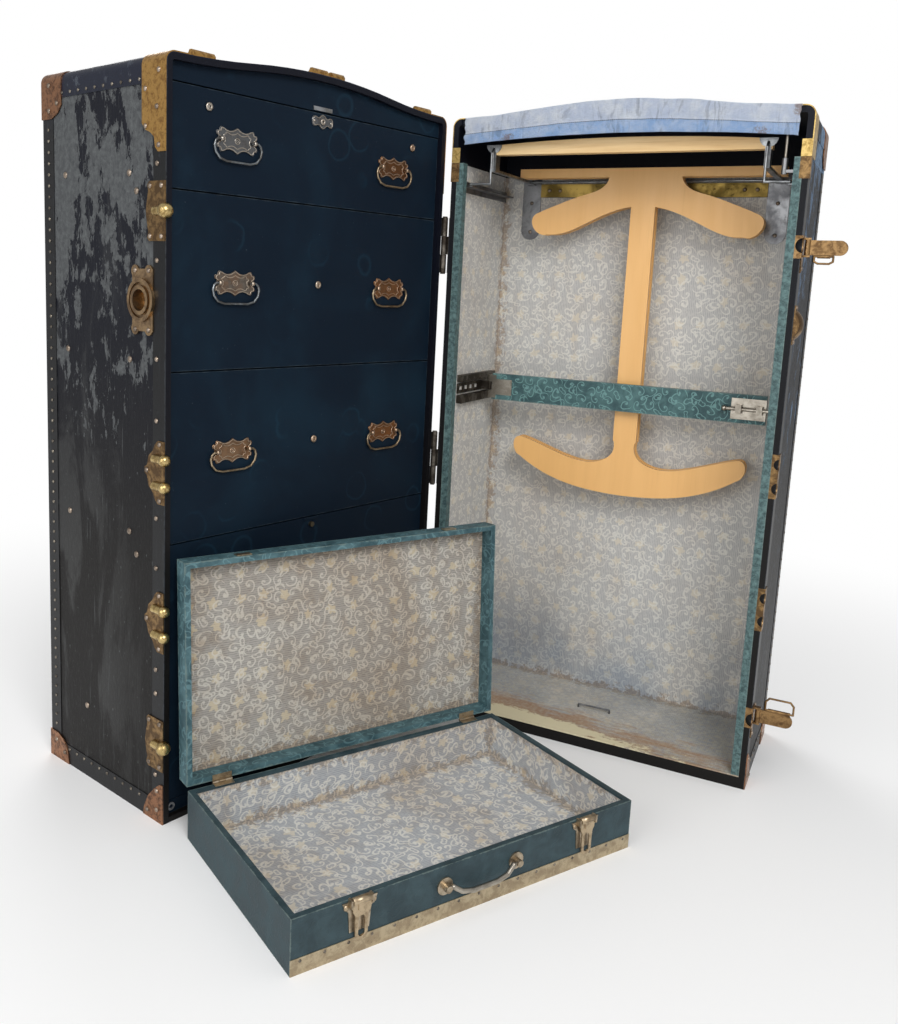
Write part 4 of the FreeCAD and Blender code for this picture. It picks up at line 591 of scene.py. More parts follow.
@dataclass(frozen=True)
class Metal(Finish):
    """Plated sheet metal with tarnish, spots and hammered dents."""

    bright: str = "c39a58"
    dull: str = "94703a"
    spot: str = "33251a"
    roughness: float = 0.34
    tarnish: float = 0.5  # share that is dull
    spots: float = 0.5
    dents: float = 0.0004
    scale: float = 38.0

    def paint(self, s: Surface) -> None:
        """Bright metal under uneven tarnish."""
        self.plate(s, self.bright, self.dull)

    def plate(self, s: Surface, bright: Feed, dull: Feed) -> None:
        """Paints metal between two colours.

        Args:
            s: The surface.
            bright: Colour where it is rubbed.
            dull: Colour where it has darkened.
        """
        g = s.g
        broad = g.noise(s.place, self.scale, 6.0, 0.65, 0.5)
        fine = g.noise(s.place, self.scale * 7, 4.0, 0.6)
        level = NOISE_HIGH - NOISE_SPAN * self.tarnish
        tarnish = g.step(broad, level - 0.1, level + 0.12)
        colour = g.mix(tarnish, bright, dull)
        spots = g.times(g.step(fine, 0.58, 0.7), self.spots)
        s.colour(g.mix(spots, colour, self.spot))
        s.shader.inputs["Metallic"].default_value = 1.0
        rough = g.plus(self.roughness, g.times(tarnish, 0.14))
        s.rough(g.plus(rough, g.times(spots, 0.3), clamp=True))
        s.relief(g.plus(broad, g.times(fine, 0.4)), self.dents, 0.7)


@dataclass(frozen=True)
class AgedCaps(Metal):
    """Brass caps, golden beside the upper rim and copper-brown towards the back and the foot."""

    bright: str = "cdb070"
    dull: str = "9c8048"
    tarnish: float = 0.4
    spots: float = 0.4
    scale: float = 120.0
    copper: str = "a07354"
    copper_dull: str = "664a3a"
    golden_to: float = 0.05  # depth where the golden colour ends
    golden_blend: float = 0.02
    golden_from: float = 0.5  # height where it starts
    stay: str = "9a948a"
    stay_inset: float = 0.016  # what stands further in from the side is a nickel stay
    stay_depths: tuple = (0.004, 0.2)
    stay_top: float = 1.0

    def paint(self, s: Surface) -> None:
        """Golden in front, coppery behind and below, and nickel on the stays inside."""
        g = s.g
        x, y, z = g.split(s.place)
        low = g.calc("LESS_THAN", z, self.golden_from)
        coppery = g.most(g.step(y, self.golden_to, self.golden_to + self.golden_blend), low)
        near, far = self.stay_depths
        stay = g.calc("LESS_THAN", s.aside(x), s.half_width() - self.stay_inset)
        stay = g.times(stay, g.calc("GREATER_THAN", y, near))
        stay = g.times(stay, g.calc("LESS_THAN", y, far))
        stay = g.times(stay, g.calc("LESS_THAN", z, self.stay_top))
        bright = g.mix(stay, g.mix(coppery, self.bright, self.copper), self.stay)
        dull = g.mix(stay, g.mix(coppery, self.dull, self.copper_dull), self.stay)
        self.plate(s, bright, dull)


@dataclass(frozen=True)
class PullMetal(Metal):
    """Pull plates: silvered on one side of the drawer, coppery on the other, rubbed on their borders."""

    spots: float = 0.3
    tarnish: float = 0.4
    scale: float = 90.0
    dents: float = 0.0002
    silver: str = "8f9498"
    copper: str = "a97a56"
    dark: str = "4a4038"
    rubbed: str = "d2c3b0"
    split: float = 0.32  # where the silvered side ends
    face: float = 0.0075  # depth of the plates' faces
    lean: float = 0.0  # how far the silver side is coppery too
    border: tuple = (0.0002, 0.0006)  # heights above a face between which a border starts

    def paint(self, s: Surface) -> None:
        """Two metals by side, dark in the hollows and bright on the raised borders."""
        g = s.g
        x, y, _ = g.split(s.place)
        worn = g.step(g.noise(s.place, 60.0, 5.0, 0.7), 0.42, 0.62)
        side = g.most(g.calc("GREATER_THAN", x, self.split), g.times(worn, self.lean))
        metal = g.mix(side, self.silver, self.copper)
        raised = g.step(y, *(self.face - height for height in self.border))
        ground = g.mix(g.times(g.minus(1.0, raised), 0.45), metal, self.dark)
        bright = g.mix(g.times(raised, 0.6), ground, self.rubbed)
        self.plate(s, bright, g.mix(0.35, bright, self.dark))


@dataclass(frozen=True)
class FootedNickel(Metal):
    """Nickel fittings whose wide strip along the foot is a paler brass."""

    strip: str = "d3c2a3"
    strip_dull: str = "bca988"
    strip_top: float = 0.0205
    blend: float = 0.0004

    def paint(self, s: Surface) -> None:
        """Pale brass below the strip's edge, nickel above."""
        above = s.g.step(s.g.split(s.place)[2], self.strip_top, self.strip_top + self.blend)
        bright = s.g.mix(above, self.strip, self.bright)
        self.plate(s, bright, s.g.mix(above, self.strip_dull, self.dull))


@dataclass(frozen=True)
class BookCloth(Finish):
    """Coated book cloth with a pressed scroll, mottled and rubbed pale along its edges."""

    base: str = "2a464c"
    light: str = "4d6d70"
    worn: str = "75857f"
    emboss: float = 0.2
    mottle: float = 0.5
    grain: float = 26.0  # scale of the mottling
    edge: float = 0.0010
    edge_wear: float = 0.45
    cell: float = 0.026
    breadth: float = 0.045  # half width of the pressed line in cells
    roughness: float = 0.5
    shine: float = 0.35

    def paint(self, s: Surface) -> None:
        """Mottled cloth with the scroll pressed in."""
        g = s.g
        lines = s.scrolls(self.cell, self.breadth).outputs["Lines"]
        clouds = g.step(g.noise(s.place, self.grain, 7.0, 0.7, 0.4), 0.36, 0.66)
        colour = g.mix(g.times(clouds, self.mottle), self.base, self.light)
        colour = g.mix(g.times(lines, self.emboss), colour, self.light)
        scuffs, grit = s.ragged(60.0, -0.25, 0.03, 0.5)
        rubbed = g.times(scuffs, 0.3)
        rubbed = g.most(rubbed, g.times(s.edges(self.edge), self.edge_wear))
        s.colour(g.mix(rubbed, colour, self.worn))
        s.rough(g.plus(self.roughness, g.times(clouds, 0.15)))
        s.shine(self.shine)
        s.relief(g.plus(lines, grit), 0.0003, 0.45)


@dataclass(frozen=True)
class FrontCloth(Finish):
    """Dark smooth cloth of the drawer fronts, with dried water rings and dust."""

    base: str = "0c1926"
    haze: str = "1a3545"
    dust: str = "6f7f86"
    ring_scale: float = 15.0
    ring_radius: float = 0.32  # in cells
    ring_width: float = 0.05
    edge: float = 0.0008
    roughness: float = 0.5
    shine: float = 0.1

    def paint(self, s: Surface) -> None:
        """Nearly even dark cloth with faint clouds, thin rings and few specks."""
        g = s.g
        cloud = g.step(g.noise(s.place, 5.0, 5.0, 0.6, 0.5), 0.42, 0.72)
        sway = g.stretch(g.noise(s.place, 30.0, 3.0), (0.012, 0.012, 0.012))
        feeds = {"Vector": g.vector("ADD", s.place, sway), "Scale": self.ring_scale, "Randomness": 1.0}
        cells = g.add("ShaderNodeTexVoronoi", feeds)
        rim = g.calc("ABSOLUTE", g.minus(cells.outputs["Distance"], self.ring_radius))
        ring = g.times(g.step(rim, self.ring_width, 0.0), g.step(g.noise(s.place, 7.0, 2.0), 0.46, 0.6))
        amount = g.plus(g.times(cloud, 0.3), g.times(ring, 0.35))
        colour = g.mix(amount, self.base, self.haze)
        dust = g.step(g.noise(s.place, 240.0, 3.0, 0.6), 0.7, 0.78)
        dusty = g.most(g.times(dust, 0.3), g.times(s.edges(self.edge), 0.12))
        s.colour(g.mix(dusty, colour, self.dust))
        s.rough(g.plus(self.roughness, g.times(cloud, 0.12)))
        s.shine(self.shine)
        s.relief(g.plus(s.weave(s.flat), g.times(cloud, 0.6)), 0.0002, 0.35)


@dataclass(frozen=True)
class ScrollPaper(Finish):
    """Ribbed lining paper printed with pale scrolls and cream blooms on grey."""

    ground: str = "b2b1ae"
    rib: str = "85868a"
    line: str = "d9d7cf"
    bloom: str = "d6cdb9"
    age: str = "b98f5c"
    damp: str = "93a6bd"  # darker and bluer towards the foot
    cell: float = 0.0225
    breadth: float = 0.072  # half width of the printed line in cells
    pitch: float = 0.0031
    rib_axis: int = 0  # the ribs follow each other along this flat coordinate
    stain: float = 0.35
    edge: float = 0.012
    damp_top: float = 0.0  # the darker, bluer part ends at this height
    floor_top: float = 0.0  # the paper below this height is a worn floor
    faded: str = "b0a68f"
    brown: str = "9c7143"
    bare: str = "d8cfae"
    roughness: float = 0.8
    shine: float = 0.3

    def paint(self, s: Surface) -> None:
        """Printed pattern under uneven yellowing and wear."""
        g = s.g
        scrolls = s.scrolls(self.cell, self.breadth)
        across = g.split(s.flat)[self.rib_axis]
        rib = g.calc("SINE", g.times(across, math.tau / self.pitch))
        drawn_out = (0.3, 1.0, 1.0) if self.rib_axis else (1.0, 0.3, 1.0)
        broken = g.noise(g.stretch(s.flat, drawn_out), 620.0, 1.0)
        ribs = g.times(g.step(rib, -0.5, 0.7), g.step(broken, 0.3, 0.6))
        colour = g.mix(g.times(ribs, 0.62), self.ground, self.rib)
        printed = g.step(g.noise(s.flat, 190.0, 4.0, 0.7), 0.24, 0.5)
        blooms = g.times(scrolls.outputs["Blooms"], g.plus(0.4, g.times(printed, 0.3)))
        colour = g.mix(blooms, colour, self.bloom)
        lines = g.times(scrolls.outputs["Lines"], printed)
        colour = g.mix(g.times(lines, 0.78), colour, self.line)
        if self.damp_top:
            # the paper turns darker and bluer in clouds towards the foot
            clouds = g.step(g.noise(s.place, 7.0, 4.0), 0.35, 0.6)
            damp = g.times(g.step(g.split(s.place)[2], self.damp_top, 0.05), clouds)
            colour = g.mix(g.times(damp, 0.5), colour, self.damp, "MULTIPLY")
            colour = g.mix(g.times(damp, 0.12), colour, self.damp)
        stains = g.step(g.noise(s.place, 4.5, 7.0, 0.62, 0.6), 0.42, 0.74)
        drips = g.step(g.noise(s.squashed(0.25), 30.0, 5.0, 0.65), 0.5, 0.75)
        aged = g.times(g.plus(stains, g.times(drips, 0.6), clamp=True), self.stain)
        aged = g.most(aged, g.times(s.edges(self.edge), 0.5))
        colour = g.mix(aged, colour, self.age, "MULTIPLY")
        if self.floor_top:
            colour = self.worn_floor(s, colour)
        s.colour(colour)
        s.rough(self.roughness)
        s.shine(self.shine)
        s.relief(g.plus(g.noise(s.place, 60.0, 5.0), g.times(ribs, 0.12)), 0.0005, 0.35)

    def worn_floor(self, s: Surface, colour: Feed) -> Socket:
        """Colour with the floor faded, browned towards the rim and rubbed bare along it."""
        g = s.g
        x, y, z = g.split(s.place)
        low = g.calc("LESS_THAN", z, self.floor_top)
        streaks = g.noise(g.stretch(s.place, (0.2, 1.0, 1.0)), 90.0, 6.0, 0.68)
        torn = g.noise(g.stretch(s.place, (0.5, 1.0, 1.0)), 26.0, 10.0, 0.78)
        speckle = g.noise(s.place, 150.0, 5.0, 0.75)
        worn = g.step(g.plus(g.times(y, -1.0), torn), 0.2, 0.5, 0.3, 0.62)
        old = g.mix(g.step(speckle, 0.4, 0.62), self.faded, self.rib)
        colour = g.mix(g.times(low, worn), colour, old)
        left = g.step(x, 0.1, 0.5, 0.10, -0.16)
        near = g.plus(g.step(y, 0.15, 0.03, 0.0, 0.5), left)
        browned = g.times(g.step(g.plus(near, streaks), 0.72, 1.0), low)
        spotted = g.plus(0.35, g.times(g.step(speckle, 0.35, 0.6), 0.4))
        colour = g.mix(g.times(browned, spotted), colour, self.brown)
        at_rim = g.plus(g.step(y, 0.085, 0.008, 0.0, 0.5), left)
        rubbed = g.times(g.step(g.plus(at_rim, torn), 0.84, 0.9), low)
        return g.mix(g.times(rubbed, 0.9), colour, self.bare)


@dataclass(frozen=True)
class Timber(Finish):
    """Varnished wood whose grain runs along one of its own axes, with painted shade in front of a given
    depth where set.
    """

    light: str = "e6bd7e"
    dark: str = "c18f50"
    streaky: float = 0.6
    along: int = 2  # 0, 1 or 2: the local axis of the grain
    stretch: float = 0.07  # how far the grain is drawn out
    layers: bool = False  # whether plies show as stripes along local Y
    ply: float = 0.0027  # thickness of two plies
    pores: float = 0.35
    shaded_to: float = -1.0  # painted shade: nearly black in front of this depth
    shade: str = "0d0a08"
    roughness: float = 0.36

    def paint(self, s: Surface) -> None:
        """Streaked grain under varnish, and the painted shade where set."""
        g = s.g
        x, y, z = g.split(s.place)
        order = {0: (y, z, x), 1: (x, z, y), 2: (x, y, z)}[self.along]
        grain = g.effect(Effect.GRAIN, {"Place": g.join(*order), "Stretch": self.stretch})
        streaks = g.step(grain.outputs["Streaks"], 0.3, 0.72)
        pores = g.times(g.step(grain.outputs["Pores"], 0.58, 0.75), self.pores)
        amount = g.plus(g.times(streaks, self.streaky), pores, clamp=True)
        colour = g.mix(amount, self.light, self.dark)
        if self.layers:
            ply = g.calc("SINE", g.times(g.minus(y, s.low.y), math.tau / self.ply))
            colour = g.mix(g.times(g.step(ply, 0.2, 0.8), 0.3), colour, self.dark)
        # painted shade: the wood turns nearly black in front of the given depth
        if self.shaded_to > 0:
            colour = g.mix(g.calc("LESS_THAN", y, self.shaded_to), colour, self.shade)
        s.colour(colour)
        s.rough(g.plus(self.roughness, g.times(streaks, 0.12)))
        s.relief(grain.outputs["Pores"], 0.0002, 0.25)


@dataclass(frozen=True)
class Denim(Finish):
    """Faded denim laid flat by its UV map: metres along, and 0 to 1 from tacks to hem."""

    body: str = "c8d4ea"
    faded: str = "e2e9f4"
    hem: str = "95b9e8"
    thread: str = "3a4862"
    rust: str = "7d5638"
    length: float = 0.511
    band: float = 0.70  # where the hem's fold starts
    line: float = 0.008
    stitch: float = 0.0032  # metres from one stitch to the next
    rust_at: tuple = (0.075, 0.050)  # metres in from each end
    rust_reach: float = 0.030
    corner: float = 0.028
    roughness: float = 0.88
    sheen: float = 0.2

    def paint(self, s: Surface) -> None:
        """Grey-blue cloth, bluer hem, a dark seam, rust at both lower corners and painted shade in the
        creases.
        """
        g = s.g
        along, down, _ = g.split(s.flat)
        fade = g.step(g.noise(s.place, 30.0, 7.0, 0.68), 0.36, 0.66)
        colour = g.mix(fade, self.body, self.faded)
        in_hem = g.step(down, self.band - 0.005, self.band + 0.005)
        blue = g.mix(g.times(fade, 0.45), self.hem, self.faded)
        colour = g.mix(in_hem, colour, blue)
        off_seam = g.calc("ABSOLUTE", g.minus(down, self.band))
        stitch = g.calc("SINE", g.times(along, math.tau / self.stitch))
        stitches = g.step(stitch, -0.9, -0.4, 0.45, 1.0)
        seam = g.times(g.step(off_seam, self.line * 1.6, self.line), stitches)
        colour = g.mix(g.times(seam, 0.85), colour, self.thread)
        left, right = self.rust_at
        off_left = g.calc("ABSOLUTE", g.minus(along, left))
        off_right = g.calc("ABSOLUTE", g.minus(along, self.length - right))
        near = g.step(g.calc("MINIMUM", off_left, off_right), self.rust_reach, 0.0, 0.0, 0.45)
        near = g.times(near, g.step(down, 0.62, 0.9))
        corner = g.step(along, self.length - self.corner, self.length, 0.0, 0.5)
        near = g.most(near, g.times(corner, g.step(down, 0.9, 0.3)))
        rusty = g.step(g.plus(near, g.noise(s.place, 240.0, 7.0, 0.8)), 0.8, 0.98)
        colour = g.mix(g.times(rusty, 0.7), colour, self.rust)
        weave = s.weave(g.join(along, g.split(s.place)[2]))
        slub = g.noise(s.squashed(5.0), 170.0, 3.0)
        slubs = g.step(g.noise(s.squashed(9.0), 260.0, 2.0), 0.5, 0.72)
        crease = g.noise(s.squashed(0.3), 60.0, 5.0, 0.62, 1.2)
        # painted shade: the colour darkens towards the thread colour in the creases' valleys
        crease_shade = g.times(g.step(crease, 0.46, 0.34), 0.3)
        threads_and_crease_shade = g.plus(g.times(weave, 0.14), g.times(slubs, 0.18))
        threads_and_crease_shade = g.plus(threads_and_crease_shade, crease_shade)
        # the colour mixes towards the thread colour by the weave, the slubs and the painted crease shade
        s.colour(g.mix(threads_and_crease_shade, colour, self.thread))
        s.rough(self.roughness)
        s.shader.inputs["Sheen Weight"].default_value = self.sheen
        pucker = g.times(g.step(off_seam, 0.06, 0.0), g.noise(s.place, 260.0, 2.0))
        height = g.plus(g.plus(g.times(crease, 6.0), g.times(pucker, 2.0)), g.plus(weave, slub))
        s.relief(height, 0.0016)


class Coat(Enum):
    """Every finish on the trunk."""

    DRAWER_WALLS = CoatedCanvas()
    HANGER_WALLS = CoatedCanvas(top_cover=0.28, back_line=0.4, under="4f6075", pale="6b8099", coat="0a0c12")
    LIFT_WALLS = CoatedCanvas(cover=0.2, top_cover=0.5, under="566a80", pale="7890ab", back_line=0.4)
    BINDING = Fibre()
    CAPS = AgedCaps(
        bright="c09656", dull="8c683a", spots=0.5, golden_to=0.06, dents=0.0005, scale=150.0, stay_inset=9.0
    )
    HANGER_CAPS = AgedCaps(stay_inset=9.0)
    LIFT_METAL = AgedCaps()
    PLATES = Metal(bright="93764f", dull="614c35", tarnish=0.6, scale=90.0, dents=0.0003)
    SOCKET = Metal(bright="ab8f6c", dull="75604a", roughness=0.3, scale=60.0)
    BOLTS = Metal(bright="9a7b54", dull="6b5238", scale=90.0)
    KNOBS = Metal(bright="c6ae78", dull="8f774c", tarnish=0.4, spots=0.4, roughness=0.25, scale=110.0)
    HEADS = Metal(bright="a8998a", dull="776b60", roughness=0.36)
    NAILS = Metal(bright="8c8478", dull="5c564f", roughness=0.36)
    BACK_RAIL = Metal(bright="8a743e", dull="5f5029", roughness=0.32, scale=20.0)
    RIM_CLOTH = BookCloth(base="2f4446", light="64807f", mottle=0.8, grain=150.0, emboss=0.1)
    BAR_CLOTH = BookCloth(base="2a474b", light="76a09e", emboss=0.6, mottle=0.35, cell=0.024)
    BASE_CLOTH = BookCloth(base="22343a", light="43585e", emboss=0.0)
    LID_CLOTH = BookCloth(base="2a464d", light="6c9096", emboss=0.45, mottle=0.4, cell=0.03, edge=0.0016)
    FRONTS = FrontCloth()
    WARDROBE_PAPER = ScrollPaper(floor_top=0.0205, stain=0.2, ground="bfbebb", rib="929498", damp_top=0.22)
    BASE_PAPER = ScrollPaper(
        stain=0.36, rib_axis=1, ground="adb0b3", rib="848991", age="c09c6c", breadth=0.078
    )
    LID_PAPER = ScrollPaper(
        stain=0.42, rib_axis=1, ground="9f9c96", rib="6f6c69", line="c3bfb5", bloom="c4b79c", age="bd9766"
    )
    BEECH = Timber(light="f0cd92", dark="cfa468", along=0, roughness=0.3)
    PLY = Timber(light="e3b06c", dark="bd8646", layers=True, roughness=0.34, streaky=0.12, pores=0.1)
    # inner wood, with painted shade in front of 21 mm depth
    RAW_WOOD = Timber(light="8a7350", dark="5f4c33", along=0, roughness=0.6, shaded_to=0.021)
    NICKEL = Metal(
        bright="b3aca0", dull="918a7f", spot="4d463e", tarnish=0.45, spots=0.3, roughness=0.28, dents=0.0002
    )
    TRACKS = Metal(bright="8d8e90", dull="6c6d70", spot="3a3836", spots=0.25, dents=0.0001, scale=24.0)
    CASE_NICKEL = FootedNickel(
        bright="bcae98", dull="948672", spot="5a4c3c", spots=0.35, dents=0.0002, scale=70.0,
        strip="bfb094", strip_dull="a3937a",
    )
    LATCHES = Metal(
        bright="c0ad90", dull="94826a", spot="54483a", tarnish=0.4, spots=0.3, scale=80.0, dents=0.0002
    )
    SILVERED = Metal(bright="aeb0b3", dull="84837f", spot="34302c", tarnish=0.4, roughness=0.3)
    TOP_PULLS = PullMetal()
    MIDDLE_PULLS = PullMetal(silver="a39a90", copper="bd8a60", lean=0.5)
    LOW_PULLS = PullMetal(silver="b08c6c", copper="b5845c", lean=0.7)
    ANTIQUE = Metal(bright="a8977e", dull="7d6c56", spot="2f2822", roughness=0.32)
    COOL_BAILS = Metal(bright="8c9296", dull="61605e", spot="2f2822", roughness=0.32)
    CARRIAGE = Metal(bright="9fa2a4", dull="77797b", spot="3a3836", spots=0.25, dents=0.0001)
    CURTAIN = Denim()
    STEEL = Metal(bright="6d675f", dull="3e3832", spot="1d1916", tarnish=0.6, roughness=0.45)


SLOT_COATS = {
    "covering": Coat.DRAWER_WALLS, "fibre": Coat.BINDING, "brass": Coat.PLATES,
    "knob_brass": Coat.KNOBS, "teal_cloth": Coat.BASE_CLOTH, "front_cloth": Coat.FRONTS,
    "paper": Coat.WARDROBE_PAPER, "wood": Coat.BEECH, "plywood": Coat.PLY,
    "inner_wood": Coat.RAW_WOOD, "nickel": Coat.NICKEL, "antique": Coat.ANTIQUE,
    "blue_cloth": Coat.CURTAIN, "steel": Coat.STEEL,
}
NODE_COATS = {
    "hanger_half_shell": Coat.HANGER_WALLS, "lift_top_shell": Coat.LIFT_WALLS,
    "drawer_half_corners": Coat.CAPS, "hanger_half_corners": Coat.HANGER_CAPS,
    "lift_top_fittings": Coat.LIFT_METAL, "lock_socket": Coat.SOCKET,
    "draw_bolt_bases": Coat.BOLTS, "back_rail": Coat.BACK_RAIL,
    "lower_draw_lever": Coat.BOLTS, "upper_draw_lever": Coat.BOLTS,
    "lower_draw_ring": Coat.BOLTS, "upper_draw_ring": Coat.BOLTS,
    "rim_frame": Coat.RIM_CLOTH, "retaining_bar": Coat.BAR_CLOTH,
    "bar_brackets": Coat.STEEL, "case_lid_shell": Coat.LID_CLOTH,
    "case_base_fittings": Coat.CASE_NICKEL, "case_lid_fittings": Coat.LATCHES,
    "strike_plates": Coat.SILVERED, "trolley_tracks": Coat.TRACKS, "trolley_carriage": Coat.CARRIAGE,
    "drawer_1_bail_left": Coat.COOL_BAILS, "drawer_2_bail_left": Coat.COOL_BAILS,
}


class Palette:
    """Makes each finish once for each frame and box that it is laid out by."""

    def __init__(self) -> None:
        """Starts empty."""
        self.made: dict[tuple, bpy.types.Material] = {}

    def get(
        self,
        coat: Coat,
        station: Station,
        low: Vector | None = None,
        high: Vector | None = None,
        on_uv: bool = False,
    ) -> bpy.types.Material:
        """The material of a finish.

        Args:
            coat: The finish.
            station: Frame of the sub-assembly that the pattern follows.
            low: Lowest corner of the piece in that frame; without it no edge is worn.
            high: Highest corner.
            on_uv: Whether the pattern follows the UV map.

        Returns:
            The material, made on first use.
        """
        low = Vector(FAR_LOW) if low is None else low
        high = Vector(FAR_HIGH) if high is None else high
        key = (coat, station.name, tuple(low), tuple(high), on_uv)
        if key not in self.made:
            name = f"{coat.name.lower()}_{len(self.made)}"
            self.made[key] = coat.value.material(name, station, low, high, on_uv)
        return self.made[key]


PALETTE = Palette()


# ---------------------------------------------------------------- frames of the sub-assemblies


def joint(name: str) -> dict:
    """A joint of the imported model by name."""
    return next(j for j in frame["record"]["behaviour"]["joints"] if j["name"] == name)


@dataclass(frozen=True)
class Station:
    """A sub-assembly's own frame, with X along its rim, Y to its back and Z up."""

    name: str
    matrix: Matrix

    @classmethod
    def drawer_half(cls) -> Station:
        """Frame of the half with the drawers."""
        low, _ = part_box("drawer_half_shell")
        hinge = Vector(joint("trunk_hinge")["pos_m"])
        return cls("drawer_half", Matrix.Translation((low.x, hinge.y, 0.0)))

    @classmethod
    def hanger_half(cls) -> Station:
        """Frame of the half with the hangers."""
        record = joint("trunk_hinge")
        hinge = Vector(record["pos_m"])
        _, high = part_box("drawer_half_shell")
        turn = -math.radians(180 + record["range_deg"][0])
        offset = Matrix.Translation((hinge.x - high.x, 0.0, 0.0))
        return cls("hanger_half", Matrix.Translation(hinge) @ Matrix.Rotation(turn, 4, "Z") @ offset)

    @classmethod
    def case(cls, length: float, back: float) -> Station:
        """Frame of the fitted case, from its hinge axis."""
        record = joint("case_lid_hinge")
        axis = Vector(record["axis"])
        spin = Matrix.Rotation(math.atan2(axis.y, axis.x), 4, "Z")
        corner = Vector(record["pos_m"]) - spin @ Vector((length / 2, back, 0.0))
        return cls("case_base", Matrix.Translation((corner.x, corner.y, 0.0)) @ spin)

    def tilted(self, name: str, angle: float, y: float, z: float) -> Station:
        """The same frame swung about a line along X.

        Args:
            name: The new frame's name.
            angle: The swing in radians.
            y: The line's place across the frame.
            z: The line's height.

        Returns:
            The swung frame.
        """
        there = Matrix.Translation((0.0, y, z))
        swing = there @ Matrix.Rotation(angle, 4, "X") @ there.inverted()
        return Station(name, self.matrix @ swing)


# ---------------------------------------------------------------- mesh helpers


def flat_uv(mesh: Mesh) -> None:
    """Gives each face UVs in metres in the plane it faces."""
    layer = mesh.loops.layers.uv.new("Flat")
    for face in mesh.faces:
        n = face.normal
        if abs(n.z) > LEVEL_FROM:
            axes = (0, 1)
        elif abs(n.x) > abs(n.y):
            axes = (1, 2)
        else:
            axes = (0, 2)
        for loop in face.loops:
            loop[layer].uv = (loop.vert.co[axes[0]], loop.vert.co[axes[1]])


def add_block(mesh: Mesh, low: tuple, high: tuple) -> None:
    """Adds a closed block between two corners."""
    spans = [h - lo for lo, h in zip(low, high)]
    middle = [(h + lo) / 2 for lo, h in zip(low, high)]
    matrix = Matrix.Translation(middle) @ Matrix.Diagonal((*spans, 1.0))
    bmesh.ops.create_cube(mesh, size=1.0, matrix=matrix)


def add_bead(mesh: Mesh, outline: list, y: float, half: float, high: float) -> None:
    """Adds a raised bead along a closed outline that lies across local Y.

    Args:
        mesh: The mesh to add to.
        outline: Points as (x, z), counted round once.
        y: Place of the surface that the bead lies on.
        half: Half of the bead's width.
        high: How far it stands out, towards negative Y.
    """
    count = len(outline)
    rings = []
    for i, (x, z) in enumerate(outline):
        before, after = outline[i - 1], outline[(i + 1) % count]
        run = Vector((after[0] - before[0], after[1] - before[1])).normalized()
        side = Vector((-run.y, run.x))
        shoulder = half * 0.7
        profile = ((-half, 0.0), (-shoulder, high * 0.8), (0.0, high), (shoulder, high * 0.8), (half, 0.0))
        rings.append([mesh.verts.new((x + side.x * a, y - b, z + side.y * a)) for a, b in profile])
    for i in range(count):
        here, there = rings[i], rings[(i + 1) % count]
        for j in range(len(here)):
            k = (j + 1) % len(here)
            mesh.faces.new((here[j], here[k], there[k], there[j])).smooth = k > 0


def add_plate(mesh: Mesh, outline: list, back: float, front: float, chamfer: float) -> None:
    """Adds a closed flat plate that faces negative Y, with its front edge chamfered.

    Args:
        mesh: The mesh to add to.
        outline: Points as (x, z), counted round once.
        back: Depth of its back.
        front: Depth of its face.
        chamfer: How far the face's edge is drawn in.
    """
    middle = [sum(p[i] for p in outline) / len(outline) for i in (0, 1)]
    reach = max(math.dist(p, middle) for p in outline)
    inner = [[m + (c - m) * (1 - chamfer / reach) for c, m in zip(p, middle)] for p in outline]
    steps = ((outline, back), (outline, front + chamfer), (inner, front))
    rings = [[mesh.verts.new((x, y, z)) for x, z in points] for points, y in steps]
    for low, high in zip(rings, rings[1:]):
        for i in range(len(low)):
            k = (i + 1) % len(low)
            mesh.faces.new((low[i], low[k], high[k], high[i]))
    mesh.faces.new(rings[0])
    mesh.faces.new(rings[-1])


def add_turned(
    mesh: Mesh, centre: tuple, profile: tuple, axis: str = "Y", count: int = 24
) -> None:
    """Adds a turned shape round a line through a centre.

    Args:
        mesh: The mesh to add to.
        centre: Its centre.
        profile: Points as (radius, how far out); the profile closes on itself unless it ends on the line.
        axis: "Y" for a line towards the viewer, or "X" for one along the rim.
        count: Faces round it.
    """
    rings = []
    for radius, out in profile:
        turns = [math.tau * i / count for i in range(count)] if radius > 0 else [0.0]
        ring = []
        for turn in turns:
            a, b = radius * math.cos(turn), radius * math.sin(turn)
            place = (a, -out, b) if axis == "Y" else (out, a, b)
            ring.append(mesh.verts.new(Vector(centre) + Vector(place)))
        rings.append(ring)
    pairs = list(zip(rings, rings[1:]))
    if profile[0][0] > 0 and profile[-1][0] > 0:
        pairs.append((rings[-1], rings[0]))
    for low, high in pairs:
        for i in range(count):
            k = (i + 1) % count
            corners = [low[i % len(low)], low[k % len(low)], high[k % len(high)], high[i % len(high)]]
            face = [v for n, v in enumerate(corners) if v not in corners[:n]]
            mesh.faces.new(face).smooth = True


def mirrored(quarter: tuple | list) -> list:
    """Closed outline about the middle, counted round once, from its upper right quarter."""
    right = list(quarter) + [(x, -z) for x, z in reversed(quarter)]
    left = [(-x, -z) for x, z in quarter[1:]] + [(-x, z) for x, z in reversed(quarter[1:])]
    return right + left


def new_object(name: str, data: bpy.types.ID) -> bpy.types.Object:
    """Puts a new object into the scene."""
    made = bpy.data.objects.new(name, data)
    bpy.context.scene.collection.objects.link(made)
    return made


def ride_slot(piece: bpy.types.Object, body: str) -> bpy.types.Object:
    """Gives a piece its body and logs its face count."""
    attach(piece, body)
    log.info("%s on %s: %d faces", piece.name, body, len(piece.data.polygons))
    return piece


